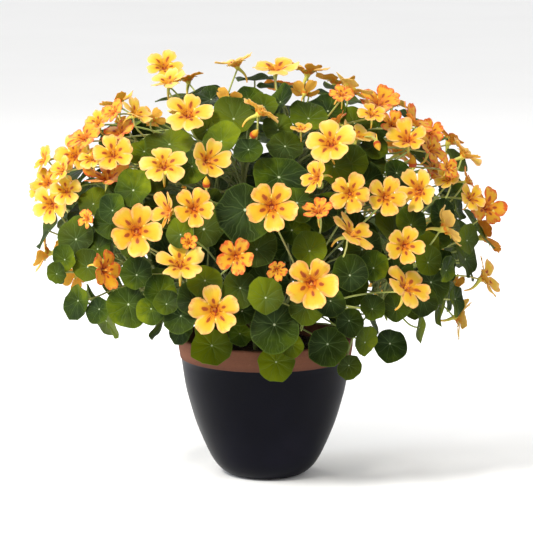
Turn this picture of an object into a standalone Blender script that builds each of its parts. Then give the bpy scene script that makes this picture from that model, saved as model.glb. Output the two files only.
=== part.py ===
"""Nasturtium plant in a glazed pot with a bare clay rim. Metres, +Z up, viewer on the -Y side.

The origin is the centre of the pot's flat base. Eight leafy stems stand in plain holes in the soil.
Each carries its leaves on long stalks, and its flower stalks end just behind the blooms.
"""

import math
import random

import bmesh
import bpy
from mathutils import Matrix, Vector
from mathutils.bvhtree import BVHTree

MM = 0.001

# Pot
POT_HEIGHT = 160 * MM
RIM_RADIUS = 100 * MM
BAND_RADIUS = 97 * MM
WALL = 6 * MM
FLOOR = 8 * MM
BAND_HEIGHT = 24 * MM
BAND_STEP = 0.8 * MM
LIP_ROUND = 2 * MM
POT_SIDES = 28
DRAIN_RADIUS = 6 * MM
DRAIN_CIRCLE = 24 * MM
DRAIN_COUNT = 3
# The body's outer profile, (radius, height) in millimetres from the base to the bare band
BODY_PROFILE = [(36, 0), (44.5, 2), (53.5, 8.5), (62, 20), (71.5, 40), (79.5, 60), (86, 81), (91.8, 104)]

# Soil
SOIL_TOP = 145 * MM
SOIL_MOUND = 5 * MM
SOIL_SIDES = 20
GAP = 0.3 * MM
BLOOM_GAP = 1.5 * MM
HOLE_SIDES = 6
HOLE_RADIUS = 4.6 * MM

# Leafy stems
STEM_COUNT = 8
STEM_RADIUS = 3.0 * MM
SIDE_SHOOT_RADIUS = 2.4 * MM
STEM_FOOT = 112 * MM
STALK_RADIUS = 1.15 * MM
STALK_SEGMENTS = 3
REAR_STALK_SEGMENTS = 2
ROOT_DEPTH = 1.4 * MM
# (distance from the pot's axis, height) in millimetres
LEADER = [(30, 112), (30, 155), (40, 230), (60, 310), (74, 380)]
SIDE_SHOOT = [(32, 178), (78, 222), (130, 234), (170, 200)]

# The crown of leaves and blooms is an upright ellipsoid, blunter below than above
CROWN_CENTRE = Vector((0, 0, 0.270))
CROWN_ACROSS = 0.250
CROWN_DEEP = 0.230
CROWN_UP = 0.195
CROWN_DOWN = 0.160
# Where the listed places were read from
EYE = Vector((0, -3.0, 0.740))

# Blades
BLADE = 0.8 * MM
LEAF_CORNERS = 8
REAR_LEAF_CORNERS = 7
LEAF_DIP = 0.16
LEAF_HOLD = 0.14
THROAT = 0.20
SPUR_BACK = 1.15
SPUR_RISE = 0.32
BLOOM_HOLD = 0.40
BUD_HOLD = 0.80
# A petal's broad end: degrees from its middle and the share of the bloom's radius
PETAL_EDGE = [(-31, 0.80), (0, 1.0), (31, 0.80)]
SMALL_PETAL_EDGE = [(-24, 0.92), (24, 0.92)]

PETAL_COLOURS = {
    "cream": (0.94, 0.66, 0.17),
    "gold": (0.94, 0.48, 0.045),
    "flame": (0.82, 0.23, 0.03),
}

SEED = 41
TRIES = 120
SPIRAL_TRIES = 12
CLEAR = 1.3 * MM
ROOT_ROOM = 9 * MM
SHIFT = 34 * MM

# Blooms read off the front view: across and up in millimetres on the upright plane through the pot's
# axis, radius in millimetres, the way it faces as a turn to the right and a tilt up in degrees, its
# place between the crown's centre, 0, and its surface, 1, and its colour.
FRONT_BLOOMS = [
    (-58, 188, 28, -5, 6, 0.97, "gold"),
    (52, 220, 29, 0, 6, 1.02, "gold"),
    (7, 308, 29, 0, 8, 1.04, "gold"),
    (-147, 280, 29, -2, 8, 1.00, "gold"),
    (-81, 306, 23, 5, 16, 1.00, "gold"),
    (-112, 302, 23, -62, 12, 0.93, "gold"),
    (-34, 251, 21, 0, 6, 0.92, "flame"),
    (-97, 244, 27, 3, 48, 0.98, "cream"),
    (-181, 236, 23, 50, 12, 0.98, "flame"),
    (-115, 357, 27, 0, 46, 0.98, "cream"),
    (-64, 361, 23, 32, 22, 1.00, "cream"),
    (-87, 415, 27, 4, 46, 1.00, "cream"),
    (-172, 369, 24, 0, 38, 1.03, "gold"),
    (-217, 367, 23, -22, 26, 1.06, "gold"),
    (-251, 362, 18, -65, 22, 1.08, "gold"),
    (-205, 388, 22, -30, 44, 1.10, "flame"),
    (-248, 336, 21, -38, 30, 1.02, "gold"),
    (-244, 310, 23, -22, 8, 1.02, "cream"),
    (-180, 343, 28, -25, 68, 0.94, "flame"),
    (-166, 393, 22, -50, 58, 1.00, "flame"),
    (-172, 416, 17, -50, 38, 1.10, "flame"),
    (-145, 415, 20, 60, 52, 1.06, "cream"),
    (-114, 468, 22, 0, 42, 1.12, "cream"),
    (-110, 451, 24, 0, 78, 1.04, "cream"),
    (-34, 472, 23, -80, 74, 1.05, "cream"),
    (11, 466, 27, 0, 72, 1.03, "cream"),
    (-4, 418, 24, 88, 55, 1.00, "gold"),
    (98, 443, 25, 120, 50, 1.04, "cream"),
    (128, 428, 26, 5, 50, 1.02, "flame"),
    (73, 382, 28, -14, 40, 1.03, "cream"),
    (104, 390, 20, 60, 58, 0.94, "cream"),
    (167, 406, 23, 78, 46, 1.08, "flame"),
    (160, 386, 24, -10, 50, 1.04, "gold"),
    (188, 374, 21, 55, 36, 1.06, "flame"),
    (226, 369, 22, 88, 52, 1.12, "gold"),
    (56, 342, 20, -52, 20, 0.98, "gold"),
    (95, 323, 23, -5, 12, 1.00, "gold"),
    (136, 319, 22, 10, 16, 1.01, "gold"),
    (171, 326, 25, -36, 12, 1.04, "cream"),
    (59, 304, 18, -20, 58, 1.02, "flame"),
    (99, 279, 27, 58, 48, 0.98, "gold"),
    (158, 263, 22, 5, 10, 1.01, "gold"),
    (162, 217, 28, 50, 46, 1.02, "gold"),
    (206, 340, 17, -30, 30, 0.98, "cream"),
    (230, 338, 16, 88, 30, 1.02, "flame"),
    (206, 284, 25, 105, 22, 1.00, "cream"),
    (251, 308, 24, 22, 26, 1.04, "flame"),
    (-39, 431, 19, 150, 54, 0.94, "gold"),
    (190, 351, 18, 60, 42, 0.92, "flame"),
    (13, 235, 12, 10, -10, 0.97, "flame"),
]
# The same for smaller flowers and half-open ones, which are joined to the stem that bears them
SMALL_BLOOMS = [
    (79, 405, 16, -110, 50, 0.94, "flame"),
    (-128, 408, 17, 150, 40, 0.98, "gold"),
    (40, 397, 13, 0, 70, 0.94, "gold"),
    (-87, 267, 11, 20, 10, 1.00, "flame"),
    (-203, 294, 12, -40, 10, 0.96, "flame"),
    (44, 438, 17, 165, 48, 0.90, "gold"),
]
# Buds: across, up, length in millimetres, turn, tilt, place in the crown
BUDS = [
    (-67, 334, 9, 0, 70, 1.00),
    (25, 357, 8, 30, 50, 0.98),
    (-13, 390, 9, 40, 40, 0.96),
    (166, 357, 10, 0, 80, 0.98),
    (126, 378, 9, 20, -40, 0.98),
]
# Leaves that stand out in the front view: across, up, radius, turn, tilt, place in the crown
FRONT_LEAVES = [
    (10, 168, 27, 0, 14, 0.94),
    (12, 126, 20, 0, 22, 0.94),
    (71, 146, 22, 4, 12, 0.93),
    (96, 122, 16, 22, 6, 0.94),
    (30, 147, 13, -4, 18, 0.88),
    (-62, 146, 23, -6, 40, 0.88),
    (-29, 160, 13, 10, 30, 0.84),
    (-97, 163, 14, -30, 22, 0.94),
    (-157, 192, 23, -8, 12, 0.98),
    (-191, 188, 15, -30, 20, 1.00),
    (-216, 197, 20, -48, 14, 1.02),
    (-216, 274, 23, -32, 20, 0.94),
    (-231, 236, 16, -75, 5, 0.98),
    (-147, 232, 18, -12, 14, 0.92),
    (-191, 262, 17, -30, 30, 0.88),
    (-24, 300, 31, -8, 14, 0.90),
    (16, 340, 30, 10, 42, 0.88),
    (-109, 379, 27, -5, 58, 0.86),
    (-50, 386, 22, -30, 40, 0.90),
    (-137, 370, 20, -20, 50, 0.84),
    (-61, 433, 22, -10, 76, 0.94),
    (-19, 433, 18, 10, 60, 0.92),
    (48, 412, 22, 15, 52, 0.92),
    (16, 430, 19, -60, 30, 0.95),
    (22, 376, 21, 0, 50, 0.86),
    (78, 352, 20, 10, 34, 0.88),
    (143, 147, 19, 20, 10, 0.98),
    (115, 153, 17, 45, -5, 0.96),
    (96, 174, 16, 20, 12, 0.93),
    (74, 197, 16, 0, 16, 0.92),
    (96, 232, 20, 10, 16, 0.94),
    (123, 240, 17, 20, 20, 0.93),
    (149, 193, 17, 25, 10, 0.96),
    (218, 199, 17, 62, 8, 1.00),
    (177, 166, 15, 70, 0, 1.02),
    (229, 251, 24, 64, 10, 0.96),
    (203, 240, 18, 40, 20, 0.90),
    (218, 308, 16, 70, 24, 0.92),
    (216, 361, 17, 60, 40, 0.92),
    (165, 290, 18, 15, 30, 0.92),
    (-69, 221, 19, 0, 30, 0.90),
    (-120, 212, 18, 10, 16, 0.90),
    (-29, 212, 20, 0, 24, 0.88),
    (-97, 278, 18, 0, 24, 0.88),
    (50, 260, 19, 5, 20, 0.88),
    (-195, 314, 18, -20, 40, 0.90),
]

# The rest of the crown: blooms and leaves on a spiral round it, where the lists leave room
SPIRAL_TURN = math.radians(137.508)
REAR_BLOOMS = 19
LEAF_TOTAL = 82
BLOOM_SPACING = 74 * MM
LEAF_SPACING = 56 * MM


class Growth:
    """A leaf, bloom or bud on its stalk. normal is the way it faces, top its upper edge's direction."""

    def __init__(self, kind, centre, radius, normal, seed):
        draw = random.Random(seed)
        self.phase = draw.uniform(0, 2 * math.pi)
        self.wave = draw.uniform(0.04, 0.10)
        self.cup = draw.uniform(0.08, 0.24)
        self.roll = math.radians(draw.uniform(4, 16))
        self.kind = kind
        self.centre = centre
        self.radius = radius
        self.normal = normal
        up = Vector((0, 0, 1)) if abs(normal.z) < 0.995 else Vector((0, 1, 0))
        self.top = (up - normal * up.dot(normal)).normalized()
        self.stem = stem_of(centre)
        self.stalk = []
        self.separate = False
        self.listed = True
        self.tone = draw.choice(("cream", "gold", "gold", "flame"))

    def turn_to(self, root):
        """Turns it about the way it faces, so that its stalk comes from its lower side."""
        if (root - self.centre).dot(self.top) > 0:
            self.top = -self.top

    def hub(self):
        """Where the stalk meets it."""
        down, back = {
            "leaf": (LEAF_HOLD, LEAF_DIP * (1 - LEAF_HOLD)),
            "bloom": (0.02, BLOOM_HOLD),
            "bud": (0, BUD_HOLD),
        }[self.kind]
        return self.centre - (self.top * down + self.normal * back) * self.radius

    def approach(self):
        """The way the stalk runs where it meets it."""
        return (self.normal * 0.8 + self.top * 0.6) if self.kind == "bloom" else self.normal

    def matrix(self):
        """Local x across, y to the top and z the way it faces."""
        side = self.top.cross(self.normal)
        axes = Matrix((side, self.top, self.normal)).transposed().to_4x4()
        return Matrix.Translation(self.centre) @ axes

    def leaf_point(self, angle, reach):
        """A point of a leaf's middle surface, in the leaf's own frame, reach being 1 at its edge."""
        outward = self.radius * reach * (1 + 0.03 * math.cos(5 * angle + self.phase))
        height = self.wave * reach**2 * math.sin(3 * angle + self.phase) - LEAF_DIP * (1 - reach)
        return Vector((outward * math.cos(angle), outward * math.sin(angle), height * self.radius))

    def leaf_angles(self):
        """The angles of its corners. Its stalk meets it below its middle, between two of them."""
        corners = LEAF_CORNERS if self.listed else REAR_LEAF_CORNERS
        return [math.radians(-90) + (k + 0.5) * 2 * math.pi / corners for k in range(corners)]

    def bloom_point(self, degrees, reach):
        """A point of a bloom's open face, in the bloom's own frame."""
        angle = math.radians(degrees) + self.roll
        outward = self.radius * reach
        height = self.cup * max(reach - THROAT, 0) ** 2 * 1.4
        return Vector((outward * math.cos(angle), outward * math.sin(angle), height * self.radius))

    def petal_edge(self):
        return PETAL_EDGE if self.separate else SMALL_PETAL_EDGE

    def spur_tip(self):
        return Vector((0, SPUR_RISE, -SPUR_BACK)) * self.radius

    def outline(self):
        """The corners of its edge, in its own frame."""
        if self.kind == "leaf":
            return [self.leaf_point(angle, 1) for angle in self.leaf_angles()]
        if self.kind == "bud":
            return [Vector((math.cos(k), math.sin(k), 0)) * self.radius * 0.5 for k in range(6)]
        corners = []
        for petal in range(5):
            corners.append(self.bloom_point(90 + 72 * petal, THROAT))
            corners += [self.bloom_point(126 + 72 * petal + turn, reach) for turn, reach in self.petal_edge()]
        return corners


def facing(turn, tilt):
    """The direction turned right of the viewer by turn and up by tilt, in degrees."""
    turn, tilt = math.radians(turn), math.radians(tilt)
    return Vector((math.sin(turn) * math.cos(tilt), -math.cos(turn) * math.cos(tilt), math.sin(tilt)))


def crown_radii(height):
    return Vector((CROWN_ACROSS, CROWN_DEEP, CROWN_UP if height > CROWN_CENTRE.z else CROWN_DOWN))


def in_crown_units(point, radii):
    offset = point - CROWN_CENTRE
    return Vector((offset.x / radii.x, offset.y / radii.y, offset.z / radii.z))


def on_sight_line(across, up, lift):
    """The near point of the crown, scaled by lift, on the line from the eye through (across, 0, up)."""
    aim = Vector((across * MM, 0, up * MM))
    radii = crown_radii(aim.z) * lift
    start, step = in_crown_units(EYE, radii), in_crown_units(aim, radii) - in_crown_units(EYE, radii)
    a, b, c = step.dot(step), 2 * start.dot(step), start.dot(start) - 1
    room = max(b * b - 4 * a * c, 0)
    return EYE.lerp(aim, (-b - math.sqrt(room)) / (2 * a))


def crown_normal(point):
    radii = crown_radii(point.z)
    offset = point - CROWN_CENTRE
    return Vector((offset.x / radii.x**2, offset.y / radii.y**2, offset.z / radii.z**2)).normalized()


def on_spiral(step, steps):
    """Point number step of steps on the crown's surface, from its skirt to its top."""
    height = -0.55 + 1.53 * (step + 0.5) / steps
    ring = math.sqrt(1 - height * height)
    angle = step * SPIRAL_TURN
    radii = crown_radii(CROWN_CENTRE.z + height)
    return CROWN_CENTRE + Vector((ring * math.cos(angle) * radii.x, ring * math.sin(angle) * radii.y, height * radii.z))


def stem_angle(stem):
    return -math.pi / 2 + (stem + 0.5) * 2 * math.pi / STEM_COUNT


def stem_of(point):
    """The leafy stem whose share of the crown holds a point."""
    share = (math.atan2(point.y, point.x) + math.pi / 2) / (2 * math.pi) * STEM_COUNT
    return int(share // 1) % STEM_COUNT


def smooth_path(points, steps):
    """A Catmull-Rom curve through the points, with steps spans between neighbours."""
    ends = [2 * points[0] - points[1], *points, 2 * points[-1] - points[-2]]
    path = []
    for a, b, c, d in zip(ends, ends[1:], ends[2:], ends[3:]):
        for k in range(steps):
            t = k / steps
            path.append(0.5 * (2 * b + (c - a) * t + (2 * a - 5 * b + 4 * c - d) * t**2 + (3 * b - a - 3 * c + d) * t**3))
    return [*path, points[-1]]


def stem_route(stem, profile, swing):
    """A stem's route from its (distance, height) profile. swing bends it sideways, in radians at its tip."""
    route = []
    for k, (distance, height) in enumerate(profile):
        angle = stem_angle(stem) + swing * (max(k - 1, 0) / (len(profile) - 2)) ** 2
        route.append(Vector((math.cos(angle) * distance * MM, math.sin(angle) * distance * MM, height * MM)))
    return smooth_path(route, 2)


def stem_routes(stem):
    """The leader and the side shoot of one leafy stem."""
    draw = random.Random(SEED + stem)
    return stem_route(stem, LEADER, draw.uniform(-0.2, 0.2)), stem_route(stem, SIDE_SHOOT, draw.uniform(-0.3, 0.3))


def stalk_path(root, growth, segments):
    """A stalk from its root on a stem to the back of a leaf or bloom, which it meets squarely."""
    hub = growth.hub()
    reach = (hub - root).length
    rise = ((hub - root).normalized() * 0.7 + Vector((0, 0, 0.55))).normalized()
    handle = growth.approach() * min(0.3 * reach, 32 * MM)
    a, b, c, d = root, root + rise * reach * 0.35, hub - handle, hub
    steps = [k / segments for k in range(segments + 1)]
    return [a * (1 - t) ** 3 + 3 * b * t * (1 - t) ** 2 + 3 * c * t * t * (1 - t) + d * t**3 for t in steps]


def tube_shell(path, radius):
    """Points and faces of a plain tube, for telling whether stalks cross."""
    sides = 5
    points, faces = [], []
    for k, at in enumerate(path):
        way = (path[min(k + 1, len(path) - 1)] - path[max(k - 1, 0)]).normalized()
        side = way.orthogonal().normalized()
        other = way.cross(side)
        for corner in range(sides):
            angle = corner * 2 * math.pi / sides
            points.append(at + (side * math.cos(angle) + other * math.sin(angle)) * radius)
    for k in range(len(path) - 1):
        for corner in range(sides):
            following = (corner + 1) % sides
            a, b = sides * k + corner, sides * k + following
            faces.append((a, b, b + sides, a + sides))
    return points, faces


def blade_shell(growth, grow):
    """Points and faces round a leaf, a bloom and its spur, or a bud, with room to spare on all sides."""
    place = growth.matrix()
    rim = growth.outline()
    middle = sum(rim, Vector()) / len(rim)
    back = {"leaf": Vector((0, 0, -LEAF_DIP * growth.radius)), "bloom": Vector(), "bud": Vector((0, 0, -growth.radius))}
    fans = [(back[growth.kind], rim)]
    if growth.kind == "bud":
        fans.append((-back["bud"], rim))
    if growth.kind == "bloom":
        fans.append((growth.spur_tip(), [growth.bloom_point(90 + 72 * k, THROAT) for k in range(5)]))
    points, faces = [], []
    for tip, ring in fans:
        for side in (-1, 1):
            start = len(points)
            offset = Vector((0, 0, side * (grow + BLADE / 2)))
            points.append(place @ (tip + offset))
            for corner in ring:
                outward = (corner - middle).normalized() * grow
                points.append(place @ (corner + outward + offset))
            count = len(ring)
            for k in range(count):
                a, b = start + 1 + k, start + 1 + (k + 1) % count
                faces.append((start, a, b))
                if side > 0:
                    faces.append((a, b, b - count - 1, a - count - 1))
    return points, faces


def tree_of(shell):
    return BVHTree.FromPolygons([tuple(p) for p in shell[0]], shell[1])


class Plan:
    """Every leaf, bloom and bud in its place, on a stalk that is clear of all the others."""

    def __init__(self):
        self.growths = []
        self.routes = [stem_routes(stem) for stem in range(STEM_COUNT)]
        self.draw = random.Random(SEED)
        self.left_out = []
        self.trees = []
        for stem, routes in enumerate(self.routes):
            for route, radius in zip(routes, (STEM_RADIUS, SIDE_SHOOT_RADIUS)):
                self.note(stem, "stem", tree_of(tube_shell(route, radius)), route)
        pot = [Vector((RIM_RADIUS, 0, POT_HEIGHT)), Vector((0.075, 0, 0.05))]
        points, faces = [], []
        for k in range(24):
            turn = Matrix.Rotation(k * 2 * math.pi / 24, 3, "Z")
            points += [turn @ (corner + Vector((2 * MM, 0, 0))) for corner in pot]
            points.append(turn @ Vector((RIM_RADIUS - WALL - 2 * MM, 0, POT_HEIGHT + 1 * MM)))
        for k in range(24):
            a, b = 3 * k, 3 * ((k + 1) % 24)
            faces += [(a, b, b + 1, a + 1), (a + 2, b + 2, b, a)]
        self.note(-1, "pot", tree_of((points, faces)), points)

    def note(self, stem, kind, tree, points):
        low = Vector([min(p[k] for p in points) for k in range(3)])
        high = Vector([max(p[k] for p in points) for k in range(3)])
        self.trees.append((stem, kind, tree, (low + high) / 2, (high - low).length / 2 + 2 * MM))

    def clear(self, growth, stalk):
        """True if the growth and its stalk, made a little larger, cross nothing that is already there."""
        blade = blade_shell(growth, CLEAR)
        blade_tree = tree_of(blade)
        whole = tree_of(tube_shell(stalk, STALK_RADIUS + CLEAR))
        beyond = stalk[0].lerp(stalk[1], min(ROOT_ROOM / (stalk[1] - stalk[0]).length, 0.9))
        upper = tree_of(tube_shell([beyond, *stalk[1:]], STALK_RADIUS + CLEAR * 0.25))
        nearly = stalk[-2].lerp(stalk[-1], 0.6)
        if blade_tree.overlap(tree_of(tube_shell([*stalk[:-1], nearly], STALK_RADIUS + CLEAR * 0.5))):
            return False
        centre = (stalk[0] + growth.centre) / 2
        reach = (stalk[0] - growth.centre).length / 2 + growth.radius * 1.2
        for stem, kind, tree, middle, span in self.trees:
            if (middle - centre).length > reach + span:
                continue
            if tree.overlap(blade_tree):
                return False
            own = stem == growth.stem
            if own and kind == "stem":
                continue
            if tree.overlap(upper if own else whole):
                return False
        return True

    def roots(self, growth, wanted):
        """Places on the growth's own stem to grow from, the best first."""
        found = []
        hub = growth.hub()
        for route in self.routes[growth.stem]:
            for a, b in zip(route, route[1:]):
                for share in (0.1, 0.35, 0.6, 0.85):
                    at = a.lerp(b, share)
                    if at.z < SOIL_TOP + 22 * MM:
                        continue
                    used = sum(1 for g in self.growths if (g.stalk[0] - at).length < 7 * MM)
                    above = max(0, at.z - hub.z + 0.02)
                    found.append((abs((at - hub).length - wanted) + 0.9 * above + 0.02 * used, at))
        return [at for _, at in sorted(found, key=lambda pair: pair[0])[:12]]

    def add(self, kind, centre, radius, normal, along, wanted, separate=False, listed=True):
        """Places one growth, moved along a line and tilted a little until it is clear."""
        for attempt in range(TRIES if listed else SPIRAL_TRIES):
            slack = min(attempt / 40, 1.0)
            shift = along * self.draw.uniform(-1, 1) * SHIFT * slack
            sway = Vector([self.draw.uniform(-1, 1) for _ in range(3)]) * 0.32 * slack
            seed = SEED + 100 + len(self.growths)
            growth = Growth(kind, centre + shift, radius * (1 - 0.12 * slack), (normal + sway).normalized(), seed)
            growth.separate, growth.listed = separate, listed
            for root in self.roots(growth, wanted):
                growth.turn_to(root)
                stalk = stalk_path(root, growth, STALK_SEGMENTS if listed else REAR_STALK_SEGMENTS)
                if self.clear(growth, stalk):
                    growth.stalk = stalk
                    self.growths.append(growth)
                    shell = blade_shell(growth, 0)
                    self.note(growth.stem, "blade", tree_of(shell), shell[0])
                    self.note(growth.stem, "stalk", tree_of(tube_shell(stalk, STALK_RADIUS)), stalk)
                    return growth
        self.left_out.append((kind, tuple(round(x * 1000) for x in centre)))
        return None

    def listed(self, kind, places, wanted, separate=False):
        for across, up, radius, turn, tilt, lift, *tone in places:
            centre = on_sight_line(across, up, lift)
            along = (EYE - centre).normalized()
            growth = self.add(kind, centre, radius * MM, facing(turn, tilt), along, wanted, separate)
            if growth and tone:
                growth.tone = tone[0]

    def spiral(self, kind, limit, steps, spacing, radii, lifts, wanted):
        """Fills the crown's bare places with up to limit more of a kind."""
        made = 0
        for step in range(steps):
            surface = on_spiral((step * 7) % steps, steps)
            centre = CROWN_CENTRE + (surface - CROWN_CENTRE) * self.draw.uniform(*lifts)
            radius = self.draw.uniform(*radii) * MM
            upward = Vector((0, 0, self.draw.uniform(0.15, 0.7)))
            near = [g for g in self.growths if g.kind == kind and (g.centre - centre).length < spacing]
            if made == limit or near or math.hypot(centre.x, centre.y) < 0.125 and centre.z < 0.24:
                continue
            normal = (crown_normal(surface) + upward).normalized()
            if self.add(kind, centre, radius, normal, crown_normal(surface), wanted, listed=False):
                made += 1


def plan_plant():
    plan = Plan()
    plan.listed("bloom", FRONT_BLOOMS, 120 * MM, separate=True)
    plan.listed("leaf", FRONT_LEAVES, 95 * MM)
    plan.listed("bloom", SMALL_BLOOMS, 90 * MM)
    plan.listed("bud", BUDS, 90 * MM)
    plan.spiral("bloom", REAR_BLOOMS, 60, BLOOM_SPACING, (22, 27), (1.0, 1.06), 120 * MM)
    leaves = sum(1 for g in plan.growths if g.kind == "leaf")
    plan.spiral("leaf", LEAF_TOTAL - leaves, 220, LEAF_SPACING, (26, 35), (0.86, 0.98), 95 * MM)
    return plan


# Modelling


def clear_scene():
    for obj in list(bpy.data.objects):
        bpy.data.objects.remove(obj)


def new_collection(name):
    collection = bpy.data.collections.new(name)
    bpy.context.scene.collection.children.link(collection)
    return collection


def material(name, colour, roughness, metallic=0.0):
    made = bpy.data.materials.new(name)
    made.use_nodes = True
    shader = made.node_tree.nodes["Principled BSDF"]
    shader.inputs["Base Color"].default_value = (*colour, 1)
    shader.inputs["Roughness"].default_value = roughness
    shader.inputs["Metallic"].default_value = metallic
    return made


def mesh_object(name, shape, collection):
    """An object from a bmesh, which it frees."""
    mesh = bpy.data.meshes.new(name)
    shape.to_mesh(mesh)
    shape.free()
    obj = bpy.data.objects.new(name, mesh)
    collection.objects.link(obj)
    return obj


def applied(obj, weld):
    """The object's mesh in world space, with its modifiers applied and its points welded within a distance."""
    bpy.context.view_layer.update()
    graph = bpy.context.evaluated_depsgraph_get()
    mesh = bpy.data.meshes.new_from_object(obj.evaluated_get(graph))
    shape = bmesh.new()
    shape.from_mesh(mesh)
    bpy.data.meshes.remove(mesh)
    bmesh.ops.transform(shape, matrix=obj.matrix_world, verts=shape.verts)
    if weld:
        bmesh.ops.remove_doubles(shape, verts=shape.verts, dist=weld)
        bmesh.ops.recalc_face_normals(shape, faces=shape.faces)
    return shape


def drop_scraps(shape):
    """Leaves only the largest shell: sealed hollows are filled and loose scraps are dropped."""
    shells = []
    unseen = set(shape.verts)
    while unseen:
        shell, edge = [], [unseen.pop()]
        while edge:
            point = edge.pop()
            shell.append(point)
            for other in (link.other_vert(point) for link in point.link_edges):
                if other in unseen:
                    unseen.remove(other)
                    edge.append(other)
        shells.append(shell)
    shells.sort(key=len)
    for shell in shells[:-1]:
        bmesh.ops.delete(shape, geom=shell, context="VERTS")
    return [len(shell) for shell in shells[:-1]]


def turned(name, profile, sides, collection):
    """A solid turned from a closed (radius, height) profile in metres that starts and ends on the axis."""
    shape = bmesh.new()
    points = [shape.verts.new((radius, 0, height)) for radius, height in profile]
    for a, b in zip(points, points[1:]):
        shape.edges.new((a, b))
    obj = mesh_object(name, shape, collection)
    screw = obj.modifiers.new("turn", "SCREW")
    screw.steps = screw.render_steps = sides
    screw.use_merge_vertices = True
    screw.merge_threshold = 0.0001
    return obj


def joined(name, collection, parts, finish):
    """One object from the parts, by a single Boolean union. The parts are removed."""
    helpers = new_collection(name + "_repeats")
    base, *rest = parts
    for part in rest:
        for owner in list(part.users_collection):
            owner.objects.unlink(part)
        helpers.objects.link(part)
    union = base.modifiers.new("union", "BOOLEAN")
    union.operation = "UNION"
    union.operand_type = "COLLECTION"
    union.collection = helpers
    union.solver = "MANIFOLD"
    shape = applied(base, weld=0)
    bmesh.ops.dissolve_limit(shape, angle_limit=math.radians(0.6), verts=shape.verts, edges=shape.edges)
    bmesh.ops.triangulate(shape, faces=shape.faces)
    dropped = drop_scraps(shape)
    if dropped:
        print(name, "dropped", dropped)
    obj = mesh_object(name, shape, collection)
    obj.data.materials.append(finish)
    for part in parts:
        bpy.data.objects.remove(part)
    bpy.data.collections.remove(helpers)
    return obj


def build_pot(parts, cutters):
    outer = [(radius * MM, height * MM) for radius, height in BODY_PROFILE]
    band = POT_HEIGHT - BAND_HEIGHT
    inner = [(radius - WALL, height) for radius, height in (outer[3], outer[4], outer[6])]
    profile = [
        (0, FLOOR),
        (inner[0][0] - 10 * MM, FLOOR),
        *inner,
        (RIM_RADIUS - WALL, POT_HEIGHT - LIP_ROUND),
        (RIM_RADIUS - WALL + LIP_ROUND, POT_HEIGHT),
        (RIM_RADIUS - LIP_ROUND / 2, POT_HEIGHT),
        (RIM_RADIUS, POT_HEIGHT - LIP_ROUND),
        (BAND_RADIUS + BAND_STEP, band + BAND_STEP),
        (BAND_RADIUS, band),
        *reversed(outer),
        (0, 0),
    ]
    pot = turned("pot", profile, POT_SIDES, parts)
    for k in range(DRAIN_COUNT):
        angle = (k + 0.5) * 2 * math.pi / DRAIN_COUNT
        at = Vector((DRAIN_CIRCLE * math.cos(angle), DRAIN_CIRCLE * math.sin(angle), FLOOR / 2))
        drill(pot, f"drain_{k + 1}", at, DRAIN_RADIUS, 4 * FLOOR, cutters)
    return pot


def drill(obj, name, at, radius, depth, cutters):
    """Cuts an upright hole."""
    shape = bmesh.new()
    bmesh.ops.create_cone(shape, cap_ends=True, segments=HOLE_SIDES, radius1=radius, radius2=radius, depth=depth)
    cutter = mesh_object(name + "_cutter", shape, cutters)
    cutter.location = at
    cutter.hide_render = True
    cutter.display_type = "WIRE"
    cut = obj.modifiers.new(name, "BOOLEAN")
    cut.operation = "DIFFERENCE"
    cut.object = cutter


def build_soil(parts, cutters):
    inside = [(radius * MM - WALL - 1.2 * MM, height * MM) for radius, height in BODY_PROFILE]
    profile = [
        (0, SOIL_TOP + SOIL_MOUND),
        (18 * MM, SOIL_TOP + SOIL_MOUND),
        (50 * MM, SOIL_TOP + 2 * MM),
        (89.6 * MM, SOIL_TOP - 2 * MM),
        inside[6],
        inside[4],
        inside[3],
        (inside[3][0] - 10 * MM, FLOOR + GAP * 1.5),
        (0, FLOOR + GAP * 1.5),
    ]
    soil = turned("soil", profile, SOIL_SIDES, parts)
    for stem in range(STEM_COUNT):
        foot = stem_routes(stem)[0][0]
        at = Vector((foot.x, foot.y, STEM_FOOT - GAP + 30 * MM))
        drill(soil, f"stem_hole_{stem + 1}", at, HOLE_RADIUS, 60 * MM, cutters)
    return soil


def tube(name, path, radius, collection, profile, taper=0.8):
    """A closed tube along a path, as a mesh object. profile is the curve that it is swept from."""
    curve = bpy.data.curves.new(name, "CURVE")
    curve.dimensions = "3D"
    curve.twist_mode = "MINIMUM"
    curve.bevel_mode = "OBJECT"
    curve.bevel_object = profile
    curve.use_fill_caps = True
    spline = curve.splines.new("POLY")
    spline.points.add(len(path) - 1)
    for k, at in enumerate(path):
        spline.points[k].co = (*at, 1)
        spline.points[k].radius = radius * (1 - (1 - taper) * k / (len(path) - 1))
    swept = bpy.data.objects.new(name, curve)
    collection.objects.link(swept)
    shape = applied(swept, weld=0.01 * MM)
    bpy.data.objects.remove(swept)
    return mesh_object(name, shape, collection)


def section(name, sides, collection):
    """A ring of radius 1 that tubes are swept from. It is a guide, and not part of the plant."""
    curve = bpy.data.curves.new(name, "CURVE")
    ring = curve.splines.new("POLY")
    ring.points.add(sides - 1)
    for k in range(sides):
        angle = k * 2 * math.pi / sides
        ring.points[k].co = (math.cos(angle), math.sin(angle), 0, 1)
    ring.use_cyclic_u = True
    guide = bpy.data.objects.new(name, curve)
    collection.objects.link(guide)
    guide.hide_render = True
    guide.display_type = "WIRE"
    return guide


def thickened(name, shape, place, collection):
    """A thin blade from an open surface."""
    bmesh.ops.triangulate(shape, faces=shape.faces)
    sheet = mesh_object(name + "_sheet", shape, collection)
    sheet.matrix_world = place
    solidify = sheet.modifiers.new("blade", "SOLIDIFY")
    solidify.thickness = BLADE
    solidify.offset = 0
    blade = mesh_object(name, applied(sheet, weld=0), collection)
    bpy.data.objects.remove(sheet)
    return blade


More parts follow.
